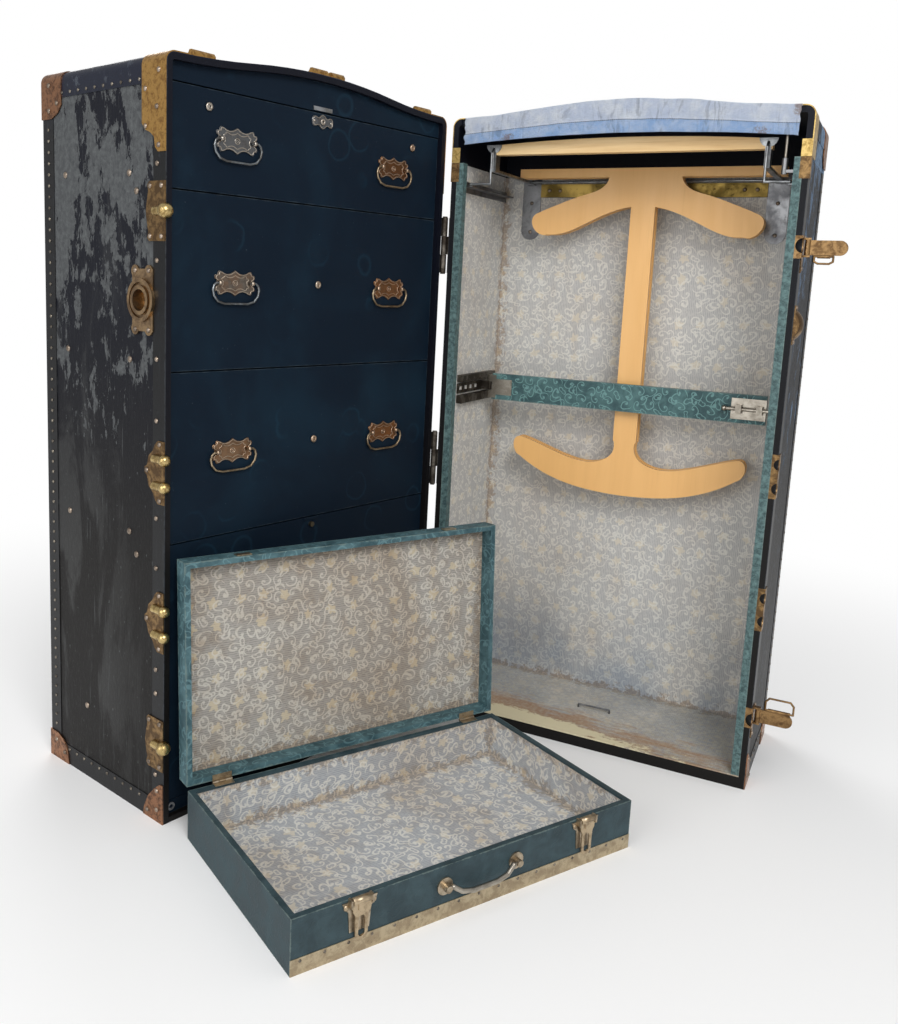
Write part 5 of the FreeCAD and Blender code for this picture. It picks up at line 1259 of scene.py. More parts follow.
def finish_piece(
    mesh: Mesh, name: str, station: Station, body: str, material: bpy.types.Material
) -> bpy.types.Object:
    """Turns a mesh built in a sub-assembly's frame into a piece in its place.

    Args:
        mesh: The mesh, in metres in the sub-assembly's frame; it is freed.
        name: The piece's name.
        station: The sub-assembly's frame.
        body: The body that the piece rides on.
        material: The piece's material.

    Returns:
        The piece.
    """
    mesh.transform(station.matrix)
    data = bpy.data.meshes.new(name)
    mesh.to_mesh(data)
    mesh.free()
    data.materials.append(material)
    return ride_slot(new_object(name, data), body)


def paper_piece(
    name: str, station: Station, body: str, blocks: list, coat: Coat, low: Vector, high: Vector
) -> bpy.types.Object:
    """Makes a paper lining from closed blocks, with its pattern laid flat in metres.

    Args:
        name: The piece's name.
        station: The sub-assembly's frame.
        body: The body that the paper rides on.
        blocks: Two corners of each block.
        coat: The paper.
        low: Lowest corner of the space that it lines.
        high: Highest corner.

    Returns:
        The piece.
    """
    mesh = bmesh.new()
    for corner, opposite in blocks:
        add_block(mesh, corner, opposite)
    mesh.normal_update()
    flat_uv(mesh)
    return finish_piece(mesh, name, station, body, PALETTE.get(coat, station, low, high, True))


# ---------------------------------------------------------------- studs by Geometry Nodes


@dataclass(frozen=True)
class StudTree:
    """Geometry Nodes tree that sets a domed head at even steps along each run of points."""

    name: str = "studs_along_runs"
    segments: int = 10
    rings: int = 6

    def build(self) -> Tree:
        """Makes the tree with inputs for spacing, radius, height and material."""
        g = Graph(bpy.data.node_groups.new(self.name, "GeometryNodeTree"))
        g.declare("Runs", "Geometry")
        for key in ("Spacing", "Radius", "Height"):
            g.declare(key, "Float")
        g.declare("Finish", "Material")
        g.declare("Studs", "Geometry", "OUTPUT")
        given, leave = g.ends()
        curve = g.first("GeometryNodeMeshToCurve", {"Mesh": given["Runs"]})
        feeds = {"Curve": curve, "Length": given["Spacing"]}
        even = g.first("GeometryNodeResampleCurve", feeds, mode="LENGTH")
        feeds = {"Segments": self.segments, "Rings": self.rings, "Radius": 1.0}
        ball = g.first("GeometryNodeMeshUVSphere", feeds)
        size = g.join(given["Radius"], given["Radius"], given["Height"])
        outward = g.first("GeometryNodeInputNamedAttribute", {"Name": "outward"}, data_type="FLOAT_VECTOR")
        aim = g.first("FunctionNodeAlignRotationToVector", {"Vector": outward}, axis="Z")
        feeds = {"Points": even, "Instance": ball, "Rotation": aim, "Scale": size}
        heads = g.first("GeometryNodeInstanceOnPoints", feeds)
        real = g.first("GeometryNodeRealizeInstances", {0: heads})
        smooth = g.first("GeometryNodeSetShadeSmooth", {0: real})
        dressed = g.first("GeometryNodeSetMaterial", {"Geometry": smooth, "Material": given["Finish"]})
        g.feed(leave.inputs["Studs"], dressed)
        return g.tree


@dataclass
class Studs:
    """Rows of nails or single rivets on one body."""

    name: str
    station: Station
    body: str
    slot: str
    coat: Coat
    spacing: float
    radius: float
    height: float
    runs: list = field(default_factory=list)
    short: float = 1e-5  # length of a run that holds one head

    def row(self, start: tuple, end: tuple, outward: tuple) -> None:
        """Adds a straight row from start to end, with heads facing outward."""
        self.runs.append(((start, end), outward))

    def spot(self, point: tuple, outward: tuple) -> None:
        """Adds one head, as a run shorter than a step."""
        near = tuple(p + self.short * (1 - abs(n)) for p, n in zip(point, outward))
        self.runs.append(((point, near), outward))

    def build(self, tree: Tree) -> bpy.types.Object:
        """Runs the tree over the rows and keeps the result as a plain mesh."""
        data = bpy.data.meshes.new(self.name + "_runs")
        points, edges, facings = [], [], []
        for run, outward in self.runs:
            first = len(points)
            points += [self.station.matrix @ Vector(p) for p in run]
            edges += [(first + i, first + i + 1) for i in range(len(run) - 1)]
            facings += [self.station.matrix.to_3x3() @ Vector(outward)] * len(run)
        data.from_pydata(points, edges, [])
        attribute = data.attributes.new("outward", "FLOAT_VECTOR", "POINT")
        for i, facing in enumerate(facings):
            attribute.data[i].vector = facing
        holder = new_object(self.name + "_runs", data)
        modifier = holder.modifiers.new("studs", "NODES")
        modifier.node_group = tree
        sockets = {s.name: s.identifier for s in tree.interface.items_tree if s.in_out == "INPUT"}
        modifier[sockets["Spacing"]] = self.spacing
        modifier[sockets["Radius"]] = self.radius
        modifier[sockets["Height"]] = self.height
        modifier[sockets["Finish"]] = PALETTE.get(self.coat, self.station)
        graph = bpy.context.evaluated_depsgraph_get()
        made = bpy.data.meshes.new_from_object(holder.evaluated_get(graph))
        made.name = self.name
        bpy.data.objects.remove(holder)
        return ride_slot(new_object(self.name, made), self.body)


# ---------------------------------------------------------------- the sub-assemblies


@dataclass
class TrunkHalf:
    """One half of the trunk: the rows of nails round its binding."""

    station: Station
    body: str
    depth: float
    width: float = 0.545
    height: float = 1.016
    rim_band: float = 0.027
    back_band: float = 0.026
    top_band: float = 0.034
    foot_band: float = 0.030
    binding: float = 0.001
    nail: float = 0.0025
    nail_rise: float = 0.0015
    head_rise: float = 0.0022
    cap: float = 0.0025  # how far the caps' faces are from the walls
    upright_step: float = 0.0152
    level_step: float = 0.019
    nail_inset: float = 0.05  # the level rows start this far in from the edges
    rim_inset: float = 0.03  # and from the band along the rim
    foot_inset: float = 0.025  # the upright rows start this far above the foot's band
    row_drop: float = 0.006  # how far the level rows are from the bands' edges

    def nails(self, name: str, spacing: float) -> Studs:
        """Small nails at even steps on this half, with no rows yet."""
        return Studs(
            name, self.station, self.body, "knob_brass", Coat.NAILS, spacing, self.nail, self.nail_rise
        )

    def heads(self, name: str, radius: float) -> Studs:
        """Heads of one size on this half, each in a place of its own, with none yet."""
        return Studs(
            name, self.station, self.body, "knob_brass", Coat.HEADS, ONE_HEAD, radius, self.head_rise
        )

    def sides(self) -> tuple:
        """Place of each side wall's face, and the way it faces."""
        return ((-self.binding, (-1.0, 0.0, 0.0)), (self.width + self.binding, (1.0, 0.0, 0.0)))

    def upright_nails(self, name: str, low: float, high: float) -> Studs:
        """One row of small nails along the back band of both sides and of the back.

        Args:
            name: The piece's name.
            low: Height where the rows start.
            high: Height where they end.

        Returns:
            The rows, ready to build.
        """
        rows = self.nails(name, self.upright_step)
        y = self.depth - self.back_band / 2
        for x, facing in self.sides():
            rows.row((x, y, low), (x, y, high), facing)
        y = self.depth + self.binding
        for x in (self.back_band / 2, self.width - self.back_band / 2):
            rows.row((x, y, low), (x, y, high), (0.0, 1.0, 0.0))
        return rows

    def level_nails(self, name: str, heights: tuple) -> Studs:
        """Rows of small nails along both sides and the back at some heights."""
        rows = self.nails(name, self.level_step)
        inset = self.nail_inset
        for z in heights:
            for x, facing in self.sides():
                rows.row((x, self.rim_band + self.rim_inset, z), (x, self.depth - inset, z), facing)
            y = self.depth + self.binding
            rows.row((inset, y, z), (self.width - inset, y, z), (0.0, 1.0, 0.0))
        return rows


@dataclass(frozen=True)
class PullPlate:
    """A drawer pull's horned plate with raised borders, a small boss and the two eyes of its bail."""

    quarter: tuple = (
        (0.0, 0.0172), (0.0035, 0.0150), (0.0080, 0.0128), (0.0140, 0.0118), (0.0200, 0.0130),
        (0.0245, 0.0154), (0.0275, 0.0160), (0.0292, 0.0140), (0.0300, 0.0112), (0.0335, 0.0108),
        (0.0350, 0.0085), (0.0340, 0.0055), (0.0310, 0.0042),
    )
    back: float = 0.009  # depth of the drawer's front
    face: float = 0.0075
    chamfer: float = 0.0004
    borders: tuple = ((0.93, 0.91, 0.0009), (0.66, 0.60, 0.0008))  # reach, height and half width
    rise: float = 0.0007
    boss: tuple = (0.0036 * 1.15, 0.0036, 0.0007)  # half length, half height and half width of its rim
    petals: tuple = (0.0016, 0.0016, 0.0005)
    boss_steps: int = 16
    eye_spread: float = 0.028
    eye: tuple = ((0.0019, -0.0024), (0.0030, -0.0024), (0.0034, 0.0), (0.0030, 0.0024), (0.0019, 0.0024))
    bail_depth: float = 0.0046

    def outline(self, reach: float, height: float) -> list:
        """Closed outline of the plate, scaled along and across."""
        return mirrored([(x * reach, z * height) for x, z in self.quarter])

    def add(self, mesh: Mesh, x: float, z: float) -> None:
        """Adds one plate centred at x, z."""
        edge = [(x + a, z + b) for a, b in self.outline(1.0, 1.0)]
        add_plate(mesh, edge, self.back, self.face, self.chamfer)
        for reach, height, half in self.borders:
            border = [(x + a, z + b) for a, b in self.outline(reach, height)]
            add_bead(mesh, border, self.face, half, self.rise)
        turns = [math.tau * i / self.boss_steps for i in range(self.boss_steps)]
        for (along, high, half), ring in ((self.boss, turns), (self.petals, turns[::2])):
            oval = [(x + along * math.sin(a), z + high * math.cos(a)) for a in ring]
            add_bead(mesh, oval, self.face, half, self.rise)
        for side in (-1, 1):
            add_turned(mesh, (x + side * self.eye_spread, self.bail_depth, z), self.eye, "X", 16)


@dataclass(frozen=True)
class LockPlate:
    """The top drawer's lock plate, with its keyhole ring."""

    quarter: tuple = (
        (0.0, 0.0105), (0.0040, 0.0088), (0.0070, 0.0060), (0.0110, 0.0050), (0.0150, 0.0070),
        (0.0185, 0.0066), (0.0205, 0.0040), (0.0210, 0.0014),
    )
    ring: tuple = ((0.0016, 0.0), (0.0020, 0.0016), (0.0034, 0.0019), (0.0044, 0.0010), (0.0050, 0.0))
    border: tuple = (0.9, 0.86, 0.0007)  # reach, height and half width
    screw: tuple = ((0.0018, -0.0003), (0.0015, 0.0008), (0.0, 0.0012))
    screw_spread: float = 0.0165

    def add(self, mesh: Mesh, x: float, z: float, plate: PullPlate) -> None:
        """Adds the lock plate centred at x, z, laid as the pull's plates are."""
        outline = [(x + a, z + b) for a, b in mirrored(self.quarter)]
        add_plate(mesh, outline, plate.back, plate.face, plate.chamfer)
        reach, height, half = self.border
        border = [(x + (a - x) * reach, z + (b - z) * height) for a, b in outline]
        add_bead(mesh, border, plate.face, half, plate.rise)
        add_turned(mesh, (x, plate.face, z), self.ring)
        for side in (-1, 1):
            add_turned(mesh, (x + side * self.screw_spread, plate.face, z), self.screw)


@dataclass
class DrawerHalf(TrunkHalf):
    """The half with the drawers: nails, rivets and the drawers' pulls."""

    body: str = "root"
    depth: float = 0.290
    top_inset: float = 0.075  # the upright rows end this far below the top
    head: float = 0.0036
    wall_head: float = 0.0048
    pull_spread: float = 0.156
    pull_heights: tuple = (0.925, 0.740, 0.511)  # from the top drawer down
    pull_coats: tuple = (Coat.TOP_PULLS, Coat.MIDDLE_PULLS, Coat.LOW_PULLS)
    lock_height: float = 0.9725
    buttons: tuple = ((0.070, 0.962), (0.472, 0.962))
    stud_rise: float = 0.002
    stud: tuple = ((0.0020, 0.0003), (0.0024, 0.0012), (0.0040, 0.0014), (0.0055, 0.0006), (0.0055, -0.0014))
    stud_hole: tuple = ((0.0024, -0.0014), (0.0024, 0.0004), (0.0, 0.0004))

    def rivets(self) -> list[Studs]:
        """Single large heads on the caps and plates, and others in the side wall."""
        on_brass = self.heads("drawer_half_rivets", self.head)
        out = (-1.0, 0.0, 0.0)
        on_caps = [(0.042, 0.975), (0.018, 0.952), (0.042, 0.930), (0.014, 0.906), (0.014, 0.995)]
        on_plates = [
            (0.008, 0.857), (0.032, 0.857), (0.008, 0.795), (0.032, 0.795), (0.008, 0.145), (0.032, 0.145),
            (0.008, 0.083), (0.032, 0.083), (0.010, 0.530), (0.010, 0.455), (0.038, 0.4925), (0.010, 0.326),
            (0.010, 0.252), (0.038, 0.289), (0.035, 0.752), (0.064, 0.752), (0.035, 0.676), (0.064, 0.676),
            (0.014, 0.046), (0.014, 0.018), (0.036, 0.010), (0.272, 1.000), (0.252, 0.975), (0.272, 0.966),
            (0.274, 0.030), (0.252, 0.016),
        ]
        for y, z in on_caps + on_plates:
            on_brass.spot((-self.cap, y, z), out)
        for z in (0.884, 0.765, 0.640, 0.560, 0.430, 0.362, 0.220, 0.186, 0.068):
            on_brass.spot((-self.binding, 0.019, z), out)
        in_wall = self.heads("drawer_half_wall_rivets", self.wall_head)
        for y, z in (
            (0.235, 0.878), (0.081, 0.875), (0.065, 0.852), (0.233, 0.638), (0.080, 0.635), (0.233, 0.401),
            (0.082, 0.400), (0.065, 0.371), (0.191, 0.112),
        ):
            in_wall.spot((0.0, y, z), out)
        return [on_brass, in_wall]

    def pulls(self) -> None:
        """Horned plates, studs and the lock plate of each drawer, in place of the plain ones."""
        plate = PullPlate()
        middle = self.width / 2
        for number, (z, coat) in enumerate(zip(self.pull_heights, self.pull_coats), 1):
            mesh = bmesh.new()
            for side in (-1, 1):
                plate.add(mesh, middle + side * self.pull_spread, z)
            if number == 1:
                LockPlate().add(mesh, middle, self.lock_height, plate)
                spots = self.buttons
            else:
                spots = ((middle, z + self.stud_rise),)
            for x, height in spots:
                add_turned(mesh, (x, plate.face, height), self.stud)
                add_turned(mesh, (x, plate.face, height), self.stud_hole)
            bmesh.ops.recalc_face_normals(mesh, faces=mesh.faces)
            metal = PALETTE.get(coat, self.station)
            body = f"drawer_{number}"
            piece = finish_piece(mesh, f"{body}_plates", self.station, body, metal)
            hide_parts(f"{body}_fittings")

    def build(self, tree: Tree) -> None:
        """Makes the nails, rivets and drawer pulls of this half."""
        foot = self.foot_band + self.foot_inset
        self.upright_nails("drawer_half_nails", foot, self.height - self.top_inset).build(tree)
        heights = (self.height - self.top_band + self.row_drop, self.foot_band - self.row_drop)
        self.level_nails("drawer_half_level_nails", heights).build(tree)
        for rivets in self.rivets():
            rivets.build(tree)
        self.pulls()


@dataclass
class HangerHalf(TrunkHalf):
    """The half with the hangers: nails, rivets and the paper lining."""

    body: str = "hanger_half"
    depth: float = 0.228
    wall: float = 0.008
    lining: float = 0.002
    floor: float = 0.018
    floor_front: float = 0.0006
    rim_depth: float = 0.015
    lift_line: float = 0.948
    lift_gap: float = 0.012  # the upright rows end this far below the lift top
    head: float = 0.0034
    head_rise: float = 0.0020
    back_rivets: tuple = (0.062, (0.852, 0.903, 0.945), 0.002)  # inset, heights and plate's thickness
    rail_rivets: tuple = ((0.095, 0.115), 0.925, 0.004)  # insets, height and rail's thickness

    def paper(self) -> None:
        """Paper on the back, sides and floor, in place of the plain lining."""
        x0, x1 = self.wall, self.width - self.wall
        y0, y1 = self.rim_depth, self.depth - self.wall
        z0, z1 = self.floor, self.lift_line
        t = self.lining
        blocks = [
            ((x0 + t, y1 - t, z0 + t), (x1 - t, y1, z1)),
            ((x0, y0, z0 + t), (x0 + t, y1, z1)),
            ((x1 - t, y0, z0 + t), (x1, y1, z1)),
            ((x0, self.floor_front, z0), (x1, y1, z0 + t)),
        ]
        low, high = Vector((x0, 0.0, z0)), Vector((x1, y1, FAR_HIGH[2]))
        coat = Coat.WARDROBE_PAPER
        piece = paper_piece("wardrobe_paper", self.station, self.body, blocks, coat, low, high)
        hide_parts("hanger_half_lining")

    def rivets(self) -> Studs:
        """Heads on the caps, notch plates, brackets and rails."""
        spots = self.heads("hanger_half_rivets", self.head)
        at_foot = [(0.014, 0.046), (0.014, 0.018), (0.036, 0.010)]
        at_foot += [(self.depth - 0.018, 0.030), (self.depth - 0.038, 0.014)]
        for x, facing in ((self.width + self.cap, 1.0), (-self.cap, -1.0)):
            for y, z in at_foot:
                spots.spot((x, y, z), (facing, 0.0, 0.0))
        on_plates = (
            (0.024, 0.838), (0.018, 0.794), (0.024, 0.131), (0.018, 0.087), (0.014, 0.738), (0.014, 0.690),
        )
        for y, z in on_plates:
            spots.spot((self.width + self.cap, y, z), (1.0, 0.0, 0.0))
        on_back = self.depth - self.wall - self.lining
        inset, heights, thick = self.back_rivets
        for x in (inset, self.width - inset):
            for z in heights:
                spots.spot((x, on_back - thick, z), (0.0, -1.0, 0.0))
        (near, far), z, thick = self.rail_rivets
        for x in (near, far, self.width - far, self.width - near):
            spots.spot((x, on_back - thick, z), (0.0, -1.0, 0.0))
        return spots

    def build(self, tree: Tree) -> None:
        """Makes the lining, nails and rivets of this half."""
        self.paper()
        foot = self.foot_band + self.foot_inset
        self.upright_nails("hanger_half_nails", foot, self.lift_line - self.lift_gap).build(tree)
        self.level_nails("hanger_half_level_nails", (self.foot_band - self.row_drop,)).build(tree)
        self.rivets().build(tree)


@dataclass(frozen=True)
class CaseLatch:
    """A latch of the fitted case: a barrel on its pin and a long loop with a rounded end."""

    half: float = 0.012
    pivot_out: float = 0.0055
    pivot_rise: float = 0.0685
    claw: float = 0.0045
    pin: float = 0.0016
    neck: float = 0.050  # height where the loop narrows
    loop_half: float = 0.0085
    foot: float = 0.019
    thick: float = 0.0018
    window_half: float = 0.0042
    shoulder: float = 0.006  # height over which the loop narrows
    window: tuple = (0.0275, 0.0455)  # heights between which the window is straight
    window_head: tuple = ((0.0018, 0.0035), (0.0034, 0.0022))  # aside, and above its straight part
    tongue: tuple = (0.0050, 0.054, 0.065)  # half width, low and high of the raised tongue
    tongue_corner: float = 0.003
    tongue_rise: tuple = (0.0002, -0.0012, 0.0005)  # its back and face from the loop's, and its chamfer
    round_steps: int = 12

    def rounded(self, side: list, half: float, middle: float) -> list:
        """Edge down the right side, round the foot and up the left side.

        Args:
            side: Points of the right side, from the top down.
            half: Radius of the foot.
            middle: Height of the foot's centre.

        Returns:
            The edge's points.
        """
        turns = [math.pi * i / self.round_steps for i in range(self.round_steps + 1)]
        foot = [(half * math.cos(a), middle - half * math.sin(a)) for a in turns]
        return side + foot + [(-x, z) for x, z in reversed(side)]

    def outline(self) -> list:
        """Outer edge from the top right round the foot to the top left."""
        neck = [(self.half, self.neck + self.shoulder), (self.loop_half, self.neck)]
        side = [(self.half, self.pivot_rise), *neck]
        return self.rounded(side, self.loop_half, self.foot + self.loop_half)

    def window_edge(self) -> list:
        """Edge of the window, with one point for each of the outline's."""
        low, high = self.window
        side = [(x, high + z) for x, z in self.window_head] + [(self.window_half, high)]
        return self.rounded(side, self.window_half, low)

    def add(self, mesh: Mesh, x: float, face: float) -> None:
        """Adds the latch at x in front of the case's face."""
        y = face - self.pivot_out
        near, far = y - self.thick / 2, y + self.thick / 2
        outer, inner = self.outline(), self.window_edge()
        edges = ((outer, far), (outer, near), (inner, near), (inner, far))
        rings = [[mesh.verts.new((x + a, depth, z)) for a, z in points] for points, depth in edges]
        for here, there in zip(rings, rings[1:] + rings[:1]):
            for i in range(len(here)):
                k = (i + 1) % len(here)
                mesh.faces.new((here[i], here[k], there[k], there[i]))
        half, low, high = self.tongue
        cut = self.tongue_corner
        tongue = [
            (x - half, high), (x - half, low + cut), (x - half + cut, low),
            (x + half - cut, low), (x + half, low + cut), (x + half, high),
        ]
        back, face_out, chamfer = self.tongue_rise
        add_plate(mesh, tongue, near + back, near + face_out, chamfer)
        half = self.half
        barrel = ((self.pin, -half), (self.claw, -half), (self.claw, half), (self.pin, half))
        add_turned(mesh, (x, y, self.pivot_rise), barrel, "X")


@dataclass
class FittedCase:
    """The shallow case that stands open in front of the trunk."""

    length: float = 0.515
    depth: float = 0.306
    height: float = 0.069
    lid: float = 0.028
    wall: float = 0.008
    floor: float = 0.005
    panel: float = 0.004
    rim_gap: float = 0.0016
    axis_back: float = 0.0025
    paper: float = 0.0006
    foot_strip: float = 0.020
    nail_step: float = 0.029
    latches: tuple = (0.086, 0.429)
    ear: tuple = (0.0180, 0.0605)  # how far aside and how high the rivets of a latch plate are
    rim_bare: float = 0.003  # the paper ends this far from the rim
    nail: tuple = (0.0020, 0.0010)  # radius and height of a nail's head
    nail_inset: float = 0.012
    nail_drop: float = 0.004  # how far the nails are below the strip's upper edge
    strip: float = 0.0008
    rivet: tuple = (0.0036, 0.0018)
    latch_plate: float = 0.0015

    def stations(self) -> tuple[Station, Station]:
        """Frames of the base and of the open lid."""
        base = Station.case(self.length, self.axis_back)
        angle = math.radians(joint("case_lid_hinge")["range_deg"][1])
        return base, base.tilted("case_lid", -angle, self.axis_back, self.height + self.rim_gap / 2)

    def tray_paper(
        self, name: str, station: Station, coat: Coat, floor: float, rim: float, sides: bool = True
    ) -> None:
        """Paper on the floor and four sides of a tray.

        Args:
            name: The piece's name.
            station: The tray's frame, named as the body that it rides on.
            coat: Its paper.
            floor: Height of the tray's inner floor.
            rim: Height of its rim, which is below the floor where the tray opens downward.
            sides: Whether the sides are papered too.
        """
        x0, x1 = self.wall, self.length - self.wall
        y0, y1 = self.wall - self.depth, -self.wall
        t = self.paper
        side = 1.0 if rim > floor else -1.0
        z_low, z_high = sorted((floor, floor + side * t))
        blocks = [((x0, y0, z_low), (x1, y1, z_high))]
        if sides:
            w_low, w_high = sorted((floor + side * t, rim - side * self.rim_bare))
            blocks += [
                ((x0, y0, w_low), (x0 + t, y1, w_high)),
                ((x1 - t, y0, w_low), (x1, y1, w_high)),
                ((x0 + t, y0, w_low), (x1 - t, y0 + t, w_high)),
                ((x0 + t, y1 - t, w_low), (x1 - t, y1, w_high)),
            ]
        low, high = Vector((x0, y0, min(floor, rim))), Vector((x1, y1, max(floor, rim)))
        paper_piece(name, station, station.name, blocks, coat, low, high)

    def nails(self, base: Station) -> Studs:
        """Small nails along the metal strip at the foot."""
        rows = Studs("case_nails", base, "case_base", "nickel", Coat.NAILS, self.nail_step, *self.nail)
        y, z = -self.depth - self.strip, self.foot_strip - self.nail_drop
        inset = self.nail_inset
        rows.row((inset, y, z), (self.length - inset, y, z), (0.0, -1.0, 0.0))
        return rows

    def latch_rivets(self, base: Station) -> Studs:
        """Two domed rivets on each latch's plate."""
        make = (base, "case_base", "nickel", Coat.LATCHES, ONE_HEAD, *self.rivet)
        spots = Studs("case_latch_rivets", *make)
        aside, height = self.ear
        for x in self.latches:
            for side in (-1, 1):
                spots.spot((x + side * aside, -self.depth - self.latch_plate, height), (0.0, -1.0, 0.0))
        return spots

    def latch_pieces(self, base: Station) -> None:
        """Both latches, in place of the plain ones."""
        for side, x in zip(("left", "right"), self.latches):
            mesh = bmesh.new()
            CaseLatch().add(mesh, x, -self.depth)
            bmesh.ops.recalc_face_normals(mesh, faces=mesh.faces)
            body = f"case_latch_{side}"
            metal = PALETTE.get(Coat.LATCHES, base)
            piece = finish_piece(mesh, f"{body}_loop", base, body, metal)
            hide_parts(body)

    def build(self, tree: Tree) -> None:
        """Makes the linings and nails of the case."""
        base, lid = self.stations()
        self.tray_paper("case_base_paper", base, Coat.BASE_PAPER, self.floor, self.height)
        lid_low = self.height + self.rim_gap
        panel = lid_low + self.lid - self.panel
        self.tray_paper("case_lid_paper", lid, Coat.LID_PAPER, panel, lid_low, False)
        self.nails(base).build(tree)
        self.latch_rivets(base).build(tree)
        self.latch_pieces(base)


@dataclass
class Curtain:
    """Blue cloth tacked along the lift top's edge, hanging in front of it with a folded hem."""

    station: Station
    width: float = 0.545
    side_height: float = 1.016
    rise: float = 0.018
    inset: float = 0.0172
    hem: float = 0.9768  # at the ends
    hem_rise: float = 0.0110
    front: float = 0.0024
    over: float = 0.021
    cloth: float = 0.0010
    fold: float = 0.0006  # how much further out the hem's second layer stands
    seam: float = 0.62  # where the hem's fold starts on the drop
    lift: float = 0.0030  # how far the tacked part stands above the crown
    lump: float = 0.0014
    edge_sway: float = 0.0022  # how far the ends sway
    end_gap: float = 0.0008
    ragged: float = 0.0006
    ripples: tuple = (0.0018, 0.0009, 0.0009)  # sizes of ripples, creases and the seam's puckers
    bias: float = 0.0006  # how far the ripples lean outward
    out_range: tuple = (-0.0017, 0.0005)  # the ripples stay between these
    seam_reach: float = 0.16  # how far from the seam the puckers reach, on the drop
    seam_step: float = 0.03
    columns: int = 260
    drop_rows: int = 34
    top_rows: int = 10

    def crown(self, x: float) -> float:
        """Height of the crown line at x."""
        middle = self.width / 2
        radius = (middle**2 + self.rise**2) / (4 * self.rise)
        from_middle = abs(x - middle)
        if from_middle <= middle / 2:
            return self.side_height + self.rise - radius + math.sqrt(radius**2 - from_middle**2)
        return self.side_height + radius - math.sqrt(radius**2 - (middle - from_middle) ** 2)

    def hem_line(self, u: float) -> float:
        """Height of the lower edge, an arc that never falls below its ends."""
        ragged = noise.noise(Vector((u * 9, 2.0, 0.3))) * self.ragged
        return self.hem + self.hem_rise * (1 - (2 * u - 1) ** 2) + abs(ragged)

    def point(self, u: float, v: float) -> tuple[float, float, float]:
        """Place of the cloth at u along the rim and v down from its tacked edge.

        Args:
            u: From 0 at one end to 1 at the other.
            v: From 0 at the tacks to 1 at the hem.

        Returns:
            The place in the half's frame.
        """
        edge = self.edge_sway * noise.noise(Vector((v * 7, 5.0, 1.0 if u < 0.5 else 8.0)))
        start = self.inset + self.end_gap
        x = start + u * (self.width - 2 * start) + edge * abs(2 * u - 1) ** 8
        lumps = noise.noise(Vector((x * 26, v * 1.4, 7.7)))
        top = self.crown(x) + self.lift + self.lump * lumps
        fold = self.top_rows / (self.top_rows + self.drop_rows)
        ripple = noise.noise(Vector((x * 42 + v * 2, v * 2.4, 3.7)))
        crease = noise.noise(Vector((x * 110 + v * 9, v * 4, 9.1)))
        if v <= fold:
            w = v / fold
            return x, self.over - w * (self.over - self.front), top
        w = (v - fold) / (1 - fold)
        z = top - w * (top - self.hem_line(u))
        at_seam = max(0.0, 1 - abs(w - self.seam) / self.seam_reach)
        pucker = noise.noise(Vector((x * 150, w * 7, 4.4))) * at_seam
        out = sum(size * wave for size, wave in zip(self.ripples, (ripple, crease, pucker))) - self.bias
        low, high = self.out_range
        out = min(max(out, low), high) * math.sin(math.pi * min(0.15 + w * 0.85, 0.96)) ** 0.4
        step = min(max((w - self.seam) / self.seam_step, 0.0), 1.0)
        return x, self.front + out - self.fold * step, z

    def build(self) -> None:
        """Makes the cloth in place of the plain sheet."""
        mesh = bmesh.new()
        layer = mesh.loops.layers.uv.new("Flat")
        rows = self.drop_rows + self.top_rows
        grid = [
            [mesh.verts.new(self.point(i / self.columns, j / rows)) for i in range(self.columns + 1)]
            for j in range(rows + 1)
        ]
        length = self.width - 2 * self.inset
        for j in range(rows):
            for i in range(self.columns):
                face = mesh.faces.new((grid[j][i], grid[j + 1][i], grid[j + 1][i + 1], grid[j][i + 1]))
                for loop, (a, b) in zip(face.loops, ((i, j), (i, j + 1), (i + 1, j + 1), (i + 1, j))):
                    loop[layer].uv = (a / self.columns * length, b / rows)
                face.smooth = True
        cloth = PALETTE.get(Coat.CURTAIN, self.station, on_uv=True)
        piece = finish_piece(mesh, "curtain_cloth", self.station, "lift_top", cloth)
        solid = piece.modifiers.new("thickness", "SOLIDIFY")
        solid.thickness = self.cloth
        solid.offset = 0.0
        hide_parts("curtain")


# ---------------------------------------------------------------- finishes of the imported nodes


def stations_of_bodies(drawer: Station, hanger: Station, base: Station, lid: Station) -> dict[str, Station]:
    """The frame that each body's patterns follow."""
    found = {}
    parent = {j["child"]: j["parent"] for j in frame["record"]["behaviour"]["joints"]}
    for body in frame["record"]["behaviour"]["bodies"]:
        chain = [body]
        while chain[-1] in parent:
            chain.append(parent[chain[-1]])
        found[body] = drawer
        for name, station in (("hanger_half", hanger), ("case_base", base), ("case_lid", lid)):
            if name in chain:
                found[body] = station
    return found


def dress_nodes(stations: dict[str, Station]) -> None:
    """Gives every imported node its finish, laid out by its own box."""
    slots = {part["node"]: part["material_slot"] for part in frame["record"]["subparts"]}
    for body, names in frame["record"]["behaviour"]["bodies"].items():
        back = stations[body].matrix.inverted()
        for name in names:
            node = frame["nodes"][name]
            corners = [back @ node.matrix_world @ vertex.co for vertex in node.data.vertices]
            low = Vector([min(c[i] for c in corners) for i in range(3)])
            high = Vector([max(c[i] for c in corners) for i in range(3)])
            coat = NODE_COATS.get(name, SLOT_COATS[slots[name]])
            node.data.materials.clear()
            node.data.materials.append(PALETTE.get(coat, stations[body], low, high))


# ---------------------------------------------------------------- camera, light and floor


def seen_itself(g: Graph) -> Socket:
    """1 for what the camera looks at, straight or through glass, and 0 for light that bounces."""
    rays = g.add("ShaderNodeLightPath")
    return g.most(rays.outputs["Is Camera Ray"], rays.outputs["Is Transmission Ray"])


